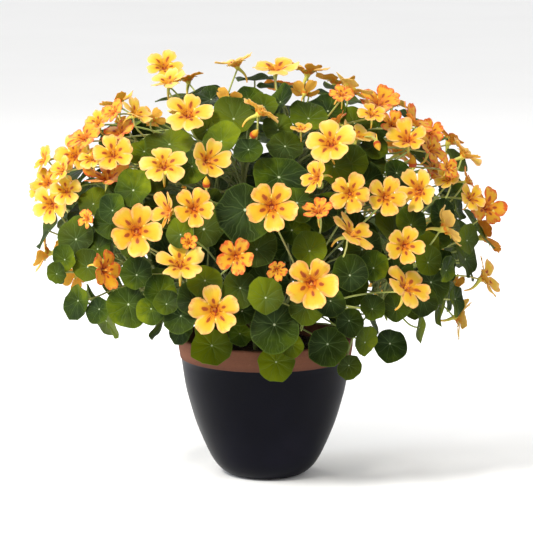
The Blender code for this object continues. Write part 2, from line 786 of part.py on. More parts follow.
def leaf_blade(name, growth, collection):
    """A round leaf held near its middle, dished, with a waved and slightly cornered edge."""
    shape = bmesh.new()
    middle = shape.verts.new(growth.leaf_point(0, 0))
    rim = [shape.verts.new(corner) for corner in growth.outline()]
    for a, b in zip(rim, rim[1:] + rim[:1]):
        shape.faces.new((middle, a, b))
    return thickened(name, shape, growth.matrix(), collection)


def bloom(name, growth, collection):
    """Five broad petals round a throat that narrows to the spur's tip."""
    shape = bmesh.new()
    corners = [shape.verts.new(corner) for corner in growth.outline()]
    tip = shape.verts.new(growth.spur_tip())
    step = len(growth.petal_edge()) + 1
    for k in range(0, len(corners), step):
        petal = [corners[(k + corner) % len(corners)] for corner in range(step + 1)]
        shape.faces.new(petal)
        shape.faces.new((tip, petal[0], petal[-1]))
    return thickened(name, shape, growth.matrix(), collection)


def bud(name, growth, collection):
    """A closed flower bud, plump and pointed."""
    shape = bmesh.new()
    bmesh.ops.create_uvsphere(shape, u_segments=5, v_segments=4, radius=1)
    size = Matrix.Diagonal((growth.radius * 0.5, growth.radius * 0.5, growth.radius, 1))
    bmesh.ops.transform(shape, matrix=growth.matrix() @ size, verts=shape.verts)
    return mesh_object(name, shape, collection)


def stalk_points(growth):
    """The stalk's path, sunk into its stem, and into what it bears unless that is a separate bloom."""
    path = list(growth.stalk)
    path[0] = path[0] - (path[1] - path[0]).normalized() * ROOT_DEPTH
    path[-1] = path[-1] + growth.approach() * (-BLOOM_GAP if growth.separate else 0.1 * MM)
    return path


def build_plant(parts, guides):
    plan = plan_plant()
    stalk_section = section("stalk_section", 3, guides)
    stem_section = section("stem_section", 5, guides)
    green = material("leaf_green", (0.075, 0.165, 0.025), 0.5)
    petals = {tone: material("petal_" + tone, colour, 0.55) for tone, colour in PETAL_COLOURS.items()}
    repeats = [[] for _ in range(STEM_COUNT)]
    for stem, (leader, side_shoot) in enumerate(plan.routes):
        repeats[stem].append(tube(f"leader_{stem}", leader, STEM_RADIUS, parts, stem_section, 0.55))
        repeats[stem].append(tube(f"shoot_{stem}", side_shoot, SIDE_SHOOT_RADIUS, parts, stem_section, 0.6))
    for k, growth in enumerate(plan.growths):
        name = f"{growth.kind}_{k + 1}"
        own = repeats[growth.stem]
        own.append(tube(name + "_stalk", stalk_points(growth), STALK_RADIUS, parts, stalk_section, 0.85))
        if growth.separate:
            bloom(f"flower_{k + 1:02d}", growth, parts).data.materials.append(petals[growth.tone])
        elif growth.kind == "leaf":
            own.append(leaf_blade(name, growth, parts))
        elif growth.kind == "bud":
            own.append(bud(name, growth, parts))
        else:
            own.append(bloom(name, growth, parts))
    for stem, pieces in enumerate(repeats):
        joined(f"leafy_stem_{stem + 1}", parts, pieces, green)
    print("growths", len(plan.growths), "left out", plan.left_out)


def main():
    clear_scene()
    parts = new_collection("nasturtium_plant")
    cutters = new_collection("cutters")
    pot = build_pot(parts, cutters)
    pot.data.materials.append(material("dark_glaze", (0.012, 0.013, 0.022), 0.22))
    soil = build_soil(parts, cutters)
    soil.data.materials.append(material("potting_soil", (0.045, 0.030, 0.020), 0.95))
    build_plant(parts, cutters)


main()
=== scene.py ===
"""Looks of the nasturtium plant in its glazed pot: fine petals, veined leaves, stems, pot and soil.

The frame gives the solids. The same planting plan as theirs is grown again here, so that every fine
leaf, bloom and stalk lies where its solid is, and more leaves and blooms then fill the crown.
"""

import math
import random
from functools import partialmethod

import bmesh
import bpy
import numpy as np
from mathutils import Matrix, Vector, noise
from mathutils.bvhtree import BVHTree


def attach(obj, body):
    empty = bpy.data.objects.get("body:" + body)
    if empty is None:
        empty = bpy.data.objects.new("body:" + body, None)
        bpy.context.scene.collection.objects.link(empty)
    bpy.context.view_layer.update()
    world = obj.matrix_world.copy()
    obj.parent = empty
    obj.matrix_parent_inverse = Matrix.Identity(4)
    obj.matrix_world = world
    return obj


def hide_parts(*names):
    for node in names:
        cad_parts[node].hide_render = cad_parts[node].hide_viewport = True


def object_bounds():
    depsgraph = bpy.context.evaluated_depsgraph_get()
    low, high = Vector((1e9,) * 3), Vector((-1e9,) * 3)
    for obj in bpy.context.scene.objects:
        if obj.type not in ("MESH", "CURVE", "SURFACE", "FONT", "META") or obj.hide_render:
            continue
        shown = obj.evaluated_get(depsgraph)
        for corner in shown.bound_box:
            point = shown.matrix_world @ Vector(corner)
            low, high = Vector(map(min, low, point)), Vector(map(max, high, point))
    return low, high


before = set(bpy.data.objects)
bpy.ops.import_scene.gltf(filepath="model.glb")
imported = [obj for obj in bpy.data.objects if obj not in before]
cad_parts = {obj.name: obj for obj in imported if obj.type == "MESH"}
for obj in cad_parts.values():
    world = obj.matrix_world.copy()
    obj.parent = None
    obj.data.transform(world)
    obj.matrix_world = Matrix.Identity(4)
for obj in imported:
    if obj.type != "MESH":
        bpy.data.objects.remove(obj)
CAD_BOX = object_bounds()

MM = 0.001

# Pot
POT_HEIGHT = 160 * MM
RIM_RADIUS = 100 * MM
BAND_RADIUS = 97 * MM
WALL = 6 * MM
FLOOR = 8 * MM
BAND_HEIGHT = 24 * MM
BAND_STEP = 0.8 * MM
LIP_ROUND = 2 * MM
DRAIN_RADIUS = 6 * MM
DRAIN_CIRCLE = 24 * MM
DRAIN_COUNT = 3
# The body's outer profile, (radius, height) in millimetres from the base to the bare band
BODY_PROFILE = [(36, 0), (44.5, 2), (53.5, 8.5), (62, 20), (71.5, 40), (79.5, 60), (86, 81), (91.8, 104)]

# Soil
SOIL_TOP = 145 * MM
SOIL_MOUND = 5 * MM
GAP = 0.3 * MM

# Leafy stems
STEM_COUNT = 8
STEM_RADIUS = 3.0 * MM
SIDE_SHOOT_RADIUS = 2.4 * MM
STALK_RADIUS = 1.15 * MM
STALK_SEGMENTS = 3
REAR_STALK_SEGMENTS = 2
ROOT_DEPTH = 1.4 * MM
# How much a stalk rises from its root, and how long its straight end is: a share of its length, up to a limit
STALK_RISE = 0.55
HANDLE_SHARE, HANDLE_LIMIT = 0.3, 32 * MM
# (distance from the pot's axis, height) in millimetres
LEADER = [(30, 112), (30, 155), (40, 230), (60, 310), (74, 380)]
SIDE_SHOOT = [(32, 178), (78, 222), (130, 234), (170, 200)]

# The crown of leaves and blooms is an upright ellipsoid, blunter below than above
CROWN_CENTRE = Vector((0, 0, 0.270))
CROWN_ACROSS = 0.250
CROWN_DEEP = 0.230
CROWN_UP = 0.195
CROWN_DOWN = 0.160
# Where the listed places were read from
EYE = Vector((0, -3.0, 0.740))

# Blades
BLADE = 0.8 * MM
LEAF_CORNERS = 8
REAR_LEAF_CORNERS = 7
LEAF_DIP = 0.16
LEAF_HOLD = 0.14
THROAT = 0.20
SPUR_BACK = 1.15
SPUR_RISE = 0.32
BLOOM_HOLD = 0.40
BUD_HOLD = 0.80
# The directions of the first petal and of the gap before it, in degrees
PETALS = 5
PETAL_TURN = 360 // PETALS
FIRST_PETAL, FIRST_GAP = 126, 90
# A petal's broad end: degrees from its middle and the share of the bloom's radius
PETAL_EDGE = [(-31, 0.80), (0, 1.0), (31, 0.80)]
SMALL_PETAL_EDGE = [(-24, 0.92), (24, 0.92)]

SEED = 41
# How often a place is tried, shifted, swayed and shrunk more each time up to FULL_SLACK
TRIES = 120
SPIRAL_TRIES = 12
FULL_SLACK = 40
SHIFT = 34 * MM
SWAY = 0.32
SHRINKING = 0.12
# Room round each growth and stalk, which may share a stem's first ROOT_ROOM with another stalk
CLEAR = 1.3 * MM
ROOT_ROOM = 9 * MM
ROOT_SPACING = 7 * MM
ROOTS_TRIED = 12
ROOTS_OVER_SOIL = 22 * MM
# The room that leaves and stalks leave round the pot
POT_GUARD = 2 * MM
POT_GUARD_SIDES = 24

# Blooms read off the front view: across and up in millimetres on the upright plane through the pot's
# axis, radius in millimetres, the way it faces as a turn to the right and a tilt up in degrees, its
# place between the crown's centre, 0, and its surface, 1, and its colour.
FRONT_BLOOMS = [
    (-58, 188, 28, -5, 6, 0.97, "gold"),
    (52, 220, 29, 0, 6, 1.02, "gold"),
    (7, 308, 29, 0, 8, 1.04, "gold"),
    (-147, 280, 29, -2, 8, 1.00, "gold"),
    (-81, 306, 23, 5, 16, 1.00, "gold"),
    (-112, 302, 23, -62, 12, 0.93, "gold"),
    (-34, 251, 21, 0, 6, 0.92, "flame"),
    (-97, 244, 27, 3, 48, 0.98, "cream"),
    (-181, 236, 23, 50, 12, 0.98, "flame"),
    (-115, 357, 27, 0, 46, 0.98, "cream"),
    (-64, 361, 23, 32, 22, 1.00, "cream"),
    (-87, 415, 27, 4, 46, 1.00, "cream"),
    (-172, 369, 24, 0, 38, 1.03, "gold"),
    (-217, 367, 23, -22, 26, 1.06, "gold"),
    (-251, 362, 18, -65, 22, 1.08, "gold"),
    (-205, 388, 22, -30, 44, 1.10, "flame"),
    (-248, 336, 21, -38, 30, 1.02, "gold"),
    (-244, 310, 23, -22, 8, 1.02, "cream"),
    (-180, 343, 28, -25, 68, 0.94, "flame"),
    (-166, 393, 22, -50, 58, 1.00, "flame"),
    (-172, 416, 17, -50, 38, 1.10, "flame"),
    (-145, 415, 20, 60, 52, 1.06, "cream"),
    (-114, 468, 22, 0, 42, 1.12, "cream"),
    (-110, 451, 24, 0, 78, 1.04, "cream"),
    (-34, 472, 23, -80, 74, 1.05, "cream"),
    (11, 466, 27, 0, 72, 1.03, "cream"),
    (-4, 418, 24, 88, 55, 1.00, "gold"),
    (98, 443, 25, 120, 50, 1.04, "cream"),
    (128, 428, 26, 5, 50, 1.02, "flame"),
    (73, 382, 28, -14, 40, 1.03, "cream"),
    (104, 390, 20, 60, 58, 0.94, "cream"),
    (167, 406, 23, 78, 46, 1.08, "flame"),
    (160, 386, 24, -10, 50, 1.04, "gold"),
    (188, 374, 21, 55, 36, 1.06, "flame"),
    (226, 369, 22, 88, 52, 1.12, "gold"),
    (56, 342, 20, -52, 20, 0.98, "gold"),
    (95, 323, 23, -5, 12, 1.00, "gold"),
    (136, 319, 22, 10, 16, 1.01, "gold"),
    (171, 326, 25, -36, 12, 1.04, "cream"),
    (59, 304, 18, -20, 58, 1.02, "flame"),
    (99, 279, 27, 58, 48, 0.98, "gold"),
    (158, 263, 22, 5, 10, 1.01, "gold"),
    (162, 217, 28, 50, 46, 1.02, "gold"),
    (206, 340, 17, -30, 30, 0.98, "cream"),
    (230, 338, 16, 88, 30, 1.02, "flame"),
    (206, 284, 25, 105, 22, 1.00, "cream"),
    (251, 308, 24, 22, 26, 1.04, "flame"),
    (-39, 431, 19, 150, 54, 0.94, "gold"),
    (190, 351, 18, 60, 42, 0.92, "flame"),
    (13, 235, 12, 10, -10, 0.97, "flame"),
]
# The same for smaller flowers and half-open ones, which are joined to the stem that bears them
SMALL_BLOOMS = [
    (79, 405, 16, -110, 50, 0.94, "flame"),
    (-128, 408, 17, 150, 40, 0.98, "gold"),
    (40, 397, 13, 0, 70, 0.94, "gold"),
    (-87, 267, 11, 20, 10, 1.00, "flame"),
    (-203, 294, 12, -40, 10, 0.96, "flame"),
    (44, 438, 17, 165, 48, 0.90, "gold"),
]
# Buds: across, up, length in millimetres, turn, tilt, place in the crown
BUDS = [
    (-67, 334, 9, 0, 70, 1.00),
    (25, 357, 8, 30, 50, 0.98),
    (-13, 390, 9, 40, 40, 0.96),
    (166, 357, 10, 0, 80, 0.98),
    (126, 378, 9, 20, -40, 0.98),
]
# Leaves that stand out in the front view: across, up, radius, turn, tilt, place in the crown
FRONT_LEAVES = [
    (10, 168, 27, 0, 14, 0.94),
    (12, 126, 20, 0, 22, 0.94),
    (71, 146, 22, 4, 12, 0.93),
    (96, 122, 16, 22, 6, 0.94),
    (30, 147, 13, -4, 18, 0.88),
    (-62, 146, 23, -6, 40, 0.88),
    (-29, 160, 13, 10, 30, 0.84),
    (-97, 163, 14, -30, 22, 0.94),
    (-157, 192, 23, -8, 12, 0.98),
    (-191, 188, 15, -30, 20, 1.00),
    (-216, 197, 20, -48, 14, 1.02),
    (-216, 274, 23, -32, 20, 0.94),
    (-231, 236, 16, -75, 5, 0.98),
    (-147, 232, 18, -12, 14, 0.92),
    (-191, 262, 17, -30, 30, 0.88),
    (-24, 300, 31, -8, 14, 0.90),
    (16, 340, 30, 10, 42, 0.88),
    (-109, 379, 27, -5, 58, 0.86),
    (-50, 386, 22, -30, 40, 0.90),
    (-137, 370, 20, -20, 50, 0.84),
    (-61, 433, 22, -10, 76, 0.94),
    (-19, 433, 18, 10, 60, 0.92),
    (48, 412, 22, 15, 52, 0.92),
    (16, 430, 19, -60, 30, 0.95),
    (22, 376, 21, 0, 50, 0.86),
    (78, 352, 20, 10, 34, 0.88),
    (143, 147, 19, 20, 10, 0.98),
    (115, 153, 17, 45, -5, 0.96),
    (96, 174, 16, 20, 12, 0.93),
    (74, 197, 16, 0, 16, 0.92),
    (96, 232, 20, 10, 16, 0.94),
    (123, 240, 17, 20, 20, 0.93),
    (149, 193, 17, 25, 10, 0.96),
    (218, 199, 17, 62, 8, 1.00),
    (177, 166, 15, 70, 0, 1.02),
    (229, 251, 24, 64, 10, 0.96),
    (203, 240, 18, 40, 20, 0.90),
    (218, 308, 16, 70, 24, 0.92),
    (216, 361, 17, 60, 40, 0.92),
    (165, 290, 18, 15, 30, 0.92),
    (-69, 221, 19, 0, 30, 0.90),
    (-120, 212, 18, 10, 16, 0.90),
    (-29, 212, 20, 0, 24, 0.88),
    (-97, 278, 18, 0, 24, 0.88),
    (50, 260, 19, 5, 20, 0.88),
    (-195, 314, 18, -20, 40, 0.90),
]

# The rest of the crown: blooms and leaves on a spiral round it, where the lists leave room
SPIRAL_TURN = math.radians(137.508)
# The spiral's lowest height and its rise, the crown's centre being 0 and its top 1
SPIRAL_LOW, SPIRAL_RISE = -0.55, 1.53
# Neighbours on the spiral are taken in turn this many steps apart
SPIRAL_STRIDE = 7
REAR_BLOOMS = 19
LEAF_TOTAL = 82
BLOOM_SPACING = 74 * MM
LEAF_SPACING = 56 * MM
# Their radii in millimetres and their places in the crown
BLOOM_RADII, BLOOM_LIFTS = (22, 27), (1.0, 1.06)
LEAF_RADII, LEAF_LIFTS = (26, 35), (0.86, 0.98)
BLOOM_STEPS, LEAF_STEPS = 60, 220
# The stalk lengths that the plan aims at
BLOOM_STALK = 120 * MM
LEAF_STALK = 95 * MM
SMALL_STALK = 90 * MM


class Growth:
    """A leaf, bloom or bud on its stalk. normal is the way it faces, top its upper edge's direction."""

    def __init__(self, kind, centre, radius, normal, seed):
        draw = random.Random(seed)
        self.phase = draw.uniform(0, 2 * math.pi)
        self.wave = draw.uniform(0.04, 0.10)
        self.cup = draw.uniform(0.08, 0.24)
        self.roll = math.radians(draw.uniform(4, 16))
        self.kind = kind
        self.centre = centre
        self.radius = radius
        self.normal = normal
        up = Vector((0, 0, 1)) if abs(normal.z) < 0.995 else Vector((0, 1, 0))
        self.top = (up - normal * up.dot(normal)).normalized()
        self.stem = stem_of(centre)
        self.stalk = []
        self.separate = False
        self.listed = True
        self.tone = draw.choice(("cream", "gold", "gold", "flame"))

    def turn_to(self, root):
        """Turns it about the way it faces, so that its stalk comes from its lower side."""
        if (root - self.centre).dot(self.top) > 0:
            self.top = -self.top

    def hub(self):
        """Where the stalk meets it."""
        down, back = {
            "leaf": (LEAF_HOLD, LEAF_DIP * (1 - LEAF_HOLD)),
            "bloom": (0.02, BLOOM_HOLD),
            "bud": (0, BUD_HOLD),
        }[self.kind]
        return self.centre - (self.top * down + self.normal * back) * self.radius

    def approach(self):
        """The way the stalk runs where it meets it."""
        return (self.normal * 0.8 + self.top * 0.6) if self.kind == "bloom" else self.normal

    def matrix(self):
        """Local x across, y to the top and z the way it faces."""
        side = self.top.cross(self.normal)
        axes = Matrix((side, self.top, self.normal)).transposed().to_4x4()
        return Matrix.Translation(self.centre) @ axes

    def leaf_point(self, angle, reach):
        """A point of a leaf's middle surface, in the leaf's own frame, reach being 1 at its edge."""
        outward = self.radius * reach * (1 + 0.03 * math.cos(5 * angle + self.phase))
        height = self.wave * reach**2 * math.sin(3 * angle + self.phase) - LEAF_DIP * (1 - reach)
        return Vector((outward * math.cos(angle), outward * math.sin(angle), height * self.radius))

    def leaf_angles(self):
        """The angles of its corners. Its stalk meets it below its middle, between two of them."""
        corners = LEAF_CORNERS if self.listed else REAR_LEAF_CORNERS
        return [math.radians(-90) + (k + 0.5) * 2 * math.pi / corners for k in range(corners)]

    def bloom_point(self, degrees, reach):
        """A point of a bloom's open face, in the bloom's own frame."""
        angle = math.radians(degrees) + self.roll
        outward = self.radius * reach
        height = self.cup * max(reach - THROAT, 0) ** 2 * 1.4
        return Vector((outward * math.cos(angle), outward * math.sin(angle), height * self.radius))

    def petal_edge(self):
        return PETAL_EDGE if self.separate else SMALL_PETAL_EDGE

    def spur_tip(self):
        return Vector((0, SPUR_RISE, -SPUR_BACK)) * self.radius

    def outline(self):
        """The corners of its edge, in its own frame."""
        if self.kind == "leaf":
            return [self.leaf_point(angle, 1) for angle in self.leaf_angles()]
        if self.kind == "bud":
            return [Vector((math.cos(k), math.sin(k), 0)) * self.radius * 0.5 for k in range(6)]
        corners = []
        for petal in range(PETALS):
            corners.append(self.bloom_point(FIRST_GAP + PETAL_TURN * petal, THROAT))
            middle = FIRST_PETAL + PETAL_TURN * petal
            corners += [self.bloom_point(middle + turn, reach) for turn, reach in self.petal_edge()]
        return corners


def facing(turn, tilt):
    """The direction turned right of the viewer by turn and up by tilt, in degrees."""
    turn, tilt = math.radians(turn), math.radians(tilt)
    return Vector((math.sin(turn) * math.cos(tilt), -math.cos(turn) * math.cos(tilt), math.sin(tilt)))


def crown_radii(height):
    return Vector((CROWN_ACROSS, CROWN_DEEP, CROWN_UP if height > CROWN_CENTRE.z else CROWN_DOWN))


def in_crown_units(point, radii):
    offset = point - CROWN_CENTRE
    return Vector((offset.x / radii.x, offset.y / radii.y, offset.z / radii.z))


def on_sight_line(across, up, lift):
    """The near point of the crown, scaled by lift, on the line from the eye through (across, 0, up)."""
    aim = Vector((across * MM, 0, up * MM))
    radii = crown_radii(aim.z) * lift
    start, step = in_crown_units(EYE, radii), in_crown_units(aim, radii) - in_crown_units(EYE, radii)
    a, b, c = step.dot(step), 2 * start.dot(step), start.dot(start) - 1
    room = max(b * b - 4 * a * c, 0)
    return EYE.lerp(aim, (-b - math.sqrt(room)) / (2 * a))


def crown_normal(point):
    radii = crown_radii(point.z)
    offset = point - CROWN_CENTRE
    return Vector((offset.x / radii.x**2, offset.y / radii.y**2, offset.z / radii.z**2)).normalized()


def on_spiral(step, steps):
    """Point number step of steps on the crown's surface, from its skirt to its top."""
    height = SPIRAL_LOW + SPIRAL_RISE * (step + 0.5) / steps
    ring = math.sqrt(1 - height * height)
    angle = step * SPIRAL_TURN
    radii = crown_radii(CROWN_CENTRE.z + height)
    around = (ring * math.cos(angle) * radii.x, ring * math.sin(angle) * radii.y, height * radii.z)
    return CROWN_CENTRE + Vector(around)


def stem_angle(stem):
    return -math.pi / 2 + (stem + 0.5) * 2 * math.pi / STEM_COUNT


def stem_of(point):
    """The leafy stem whose share of the crown holds a point."""
    share = (math.atan2(point.y, point.x) + math.pi / 2) / (2 * math.pi) * STEM_COUNT
    return int(share // 1) % STEM_COUNT


def smooth_path(points, steps):
    """A Catmull-Rom curve through the points, with steps spans between neighbours."""
    ends = [2 * points[0] - points[1], *points, 2 * points[-1] - points[-2]]
    path = []
    for a, b, c, d in zip(ends, ends[1:], ends[2:], ends[3:]):
        for k in range(steps):
            t = k / steps
            bend, twist = 2 * a - 5 * b + 4 * c - d, 3 * b - a - 3 * c + d
            path.append(0.5 * (2 * b + (c - a) * t + bend * t**2 + twist * t**3))
    return [*path, points[-1]]


def stem_route(stem, profile, swing):
    """A stem's route from its (distance, height) profile. swing bends it sideways, in radians at its tip."""
    route = []
    for k, (distance, height) in enumerate(profile):
        angle = stem_angle(stem) + swing * (max(k - 1, 0) / (len(profile) - 2)) ** 2
        route.append(Vector((math.cos(angle) * distance * MM, math.sin(angle) * distance * MM, height * MM)))
    return smooth_path(route, 2)


def stem_routes(stem):
    """The leader and the side shoot of one leafy stem."""
    draw = random.Random(SEED + stem)
    leader = stem_route(stem, LEADER, draw.uniform(-0.2, 0.2))
    return leader, stem_route(stem, SIDE_SHOOT, draw.uniform(-0.3, 0.3))


def stalk_path(root, growth, segments):
    """A stalk from its root on a stem to the back of a leaf or bloom, which it meets squarely."""
    hub = growth.hub()
    reach = (hub - root).length
    rise = ((hub - root).normalized() * 0.7 + Vector((0, 0, STALK_RISE))).normalized()
    handle = growth.approach() * min(HANDLE_SHARE * reach, HANDLE_LIMIT)
    a, b, c, d = root, root + rise * reach * 0.35, hub - handle, hub
    steps = [k / segments for k in range(segments + 1)]
    return [a * (1 - t) ** 3 + 3 * b * t * (1 - t) ** 2 + 3 * c * t * t * (1 - t) + d * t**3 for t in steps]


def tube_shell(path, radius):
    """Points and faces of a plain tube, for telling whether stalks cross."""
    sides = 5
    points, faces = [], []
    for k, at in enumerate(path):
        way = (path[min(k + 1, len(path) - 1)] - path[max(k - 1, 0)]).normalized()
        side = way.orthogonal().normalized()
        other = way.cross(side)
        for corner in range(sides):
            angle = corner * 2 * math.pi / sides
            points.append(at + (side * math.cos(angle) + other * math.sin(angle)) * radius)
    for k in range(len(path) - 1):
        for corner in range(sides):
            following = (corner + 1) % sides
            a, b = sides * k + corner, sides * k + following
            faces.append((a, b, b + sides, a + sides))
    return points, faces


def blade_shell(growth, grow):
    """Points and faces round a leaf, a bloom and its spur, or a bud, with room to spare on all sides."""
    place = growth.matrix()
    rim = growth.outline()
    middle = sum(rim, Vector()) / len(rim)
    back = Vector((0, 0, {"leaf": -LEAF_DIP, "bloom": 0, "bud": -1}[growth.kind] * growth.radius))
    fans = [(back, rim)]
    if growth.kind == "bud":
        fans.append((-back, rim))
    if growth.kind == "bloom":
        throat = [growth.bloom_point(FIRST_GAP + PETAL_TURN * k, THROAT) for k in range(PETALS)]
        fans.append((growth.spur_tip(), throat))
    points, faces = [], []
    for tip, ring in fans:
        for side in (-1, 1):
            start = len(points)
            offset = Vector((0, 0, side * (grow + BLADE / 2)))
            points.append(place @ (tip + offset))
            for corner in ring:
                outward = (corner - middle).normalized() * grow
                points.append(place @ (corner + outward + offset))
            count = len(ring)
            for k in range(count):
                a, b = start + 1 + k, start + 1 + (k + 1) % count
                faces.append((start, a, b))
                if side > 0:
                    faces.append((a, b, b - count - 1, a - count - 1))
    return points, faces


def tree_of(shell):
    return BVHTree.FromPolygons([tuple(p) for p in shell[0]], shell[1])


class Plan:
    """Every leaf, bloom and bud in its place, on a stalk that is clear of all the others."""

    def __init__(self):
        self.growths = []
        self.routes = [stem_routes(stem) for stem in range(STEM_COUNT)]
        self.draw = random.Random(SEED)
        self.trees = []
        for stem, routes in enumerate(self.routes):
            for route, radius in zip(routes, (STEM_RADIUS, SIDE_SHOOT_RADIUS)):
                self.note(stem, "stem", tree_of(tube_shell(route, radius)), route)
        pot = [Vector((RIM_RADIUS, 0, POT_HEIGHT)), Vector((0.075, 0, 0.05))]
        points, faces = [], []
        for k in range(POT_GUARD_SIDES):
            turn = Matrix.Rotation(k * 2 * math.pi / POT_GUARD_SIDES, 3, "Z")
            points += [turn @ (corner + Vector((POT_GUARD, 0, 0))) for corner in pot]
            points.append(turn @ Vector((RIM_RADIUS - WALL - POT_GUARD, 0, POT_HEIGHT + 1 * MM)))
        for k in range(POT_GUARD_SIDES):
            a, b = 3 * k, 3 * ((k + 1) % POT_GUARD_SIDES)
            faces += [(a, b, b + 1, a + 1), (a + 2, b + 2, b, a)]
        self.note(-1, "pot", tree_of((points, faces)), points)

    def note(self, stem, kind, tree, points):
        low = Vector([min(p[k] for p in points) for k in range(3)])
        high = Vector([max(p[k] for p in points) for k in range(3)])
        self.trees.append((stem, kind, tree, (low + high) / 2, (high - low).length / 2 + 2 * MM))

    def clear(self, growth, stalk):
        """True if the growth and its stalk, made a little larger, cross nothing that is already there."""
        blade = blade_shell(growth, CLEAR)
        blade_tree = tree_of(blade)
        whole = tree_of(tube_shell(stalk, STALK_RADIUS + CLEAR))
        beyond = stalk[0].lerp(stalk[1], min(ROOT_ROOM / (stalk[1] - stalk[0]).length, 0.9))
        upper = tree_of(tube_shell([beyond, *stalk[1:]], STALK_RADIUS + CLEAR * 0.25))
        nearly = stalk[-2].lerp(stalk[-1], 0.6)
        if blade_tree.overlap(tree_of(tube_shell([*stalk[:-1], nearly], STALK_RADIUS + CLEAR * 0.5))):
            return False
        centre = (stalk[0] + growth.centre) / 2
        reach = (stalk[0] - growth.centre).length / 2 + growth.radius * 1.2
        for stem, kind, tree, middle, span in self.trees:
            if (middle - centre).length > reach + span:
                continue
            if tree.overlap(blade_tree):
                return False
            own = stem == growth.stem
            if own and kind == "stem":
                continue
            if tree.overlap(upper if own else whole):
                return False
        return True

    def roots(self, growth, wanted):
        """Places on the growth's own stem to grow from, the best first."""
        found = []
        hub = growth.hub()
        for route in self.routes[growth.stem]:
            for a, b in zip(route, route[1:]):
                for share in (0.1, 0.35, 0.6, 0.85):
                    at = a.lerp(b, share)
                    if at.z < SOIL_TOP + ROOTS_OVER_SOIL:
                        continue
                    used = sum(1 for g in self.growths if (g.stalk[0] - at).length < ROOT_SPACING)
                    above = max(0, at.z - hub.z + 0.02)
                    found.append((abs((at - hub).length - wanted) + 0.9 * above + 0.02 * used, at))
        return [at for _, at in sorted(found, key=lambda pair: pair[0])[:ROOTS_TRIED]]

    def add(self, kind, centre, radius, normal, along, wanted, separate=False, listed=True):
        """Places one growth, moved along a line and tilted a little until it is clear."""
        for attempt in range(TRIES if listed else SPIRAL_TRIES):
            slack = min(attempt / FULL_SLACK, 1.0)
            shift = along * self.draw.uniform(-1, 1) * SHIFT * slack
            sway = Vector([self.draw.uniform(-1, 1) for _ in range(3)]) * SWAY * slack
            seed = SEED + 100 + len(self.growths)
            size = radius * (1 - SHRINKING * slack)
            growth = Growth(kind, centre + shift, size, (normal + sway).normalized(), seed)
            growth.separate, growth.listed = separate, listed
            for root in self.roots(growth, wanted):
                growth.turn_to(root)
                stalk = stalk_path(root, growth, STALK_SEGMENTS if listed else REAR_STALK_SEGMENTS)
                if self.clear(growth, stalk):
                    growth.stalk = stalk
                    self.growths.append(growth)
                    shell = blade_shell(growth, 0)
                    self.note(growth.stem, "blade", tree_of(shell), shell[0])
                    self.note(growth.stem, "stalk", tree_of(tube_shell(stalk, STALK_RADIUS)), stalk)
                    return growth
        return None

    def listed(self, kind, places, wanted, separate=False):
        for across, up, radius, turn, tilt, lift, *tone in places:
            centre = on_sight_line(across, up, lift)
            along = (EYE - centre).normalized()
            growth = self.add(kind, centre, radius * MM, facing(turn, tilt), along, wanted, separate)
            if growth and tone:
                growth.tone = tone[0]

    def spiral(self, kind, limit, steps, spacing, radii, lifts, wanted, over_pot=0.24):
        """Fills the crown's bare places with up to limit more of a kind."""
        made = 0
        for step in range(steps):
            surface = on_spiral((step * SPIRAL_STRIDE) % steps, steps)
            centre = CROWN_CENTRE + (surface - CROWN_CENTRE) * self.draw.uniform(*lifts)
            radius = self.draw.uniform(*radii) * MM
            upward = Vector((0, 0, self.draw.uniform(0.15, 0.7)))
            near = [g for g in self.growths if g.kind == kind and (g.centre - centre).length < spacing]
            if made == limit or near or math.hypot(centre.x, centre.y) < 0.125 and centre.z < over_pot:
                continue
            normal = (crown_normal(surface) + upward).normalized()
            if self.add(kind, centre, radius, normal, crown_normal(surface), wanted, listed=False):
                made += 1


def plan_plant():
    plan = Plan()
    plan.listed("bloom", FRONT_BLOOMS, BLOOM_STALK, separate=True)
    plan.listed("leaf", FRONT_LEAVES, LEAF_STALK)
    plan.listed("bloom", SMALL_BLOOMS, SMALL_STALK)
    plan.listed("bud", BUDS, SMALL_STALK)
    plan.spiral("bloom", REAR_BLOOMS, BLOOM_STEPS, BLOOM_SPACING, BLOOM_RADII, BLOOM_LIFTS, BLOOM_STALK)
    wanted = LEAF_TOTAL - sum(1 for g in plan.growths if g.kind == "leaf")
    plan.spiral("leaf", wanted, LEAF_STEPS, LEAF_SPACING, LEAF_RADII, LEAF_LIFTS, LEAF_STALK)
    return plan


# What the scene adds to the plan

# The rest of the crown: blooms at its back, then leaves in three layers, from the surface inwards
FILL_ROUNDS = [
    # kind, at most, steps, spacing, radii in mm, lifts, stalk length
    ("bloom", 24, 100, 44 * MM, (19, 26), (0.98, 1.05), 110 * MM),
    ("leaf", 110, 330, 33 * MM, (19, 30), (0.84, 0.97), 90 * MM),
    ("leaf", 130, 380, 31 * MM, (19, 31), (0.56, 0.84), 75 * MM),
    ("leaf", 105, 400, 27 * MM, (19, 29), (0.26, 0.60), 55 * MM),
]
# Over the pot, the fill stays above this height in metres
FILL_OVER_POT = 0.19

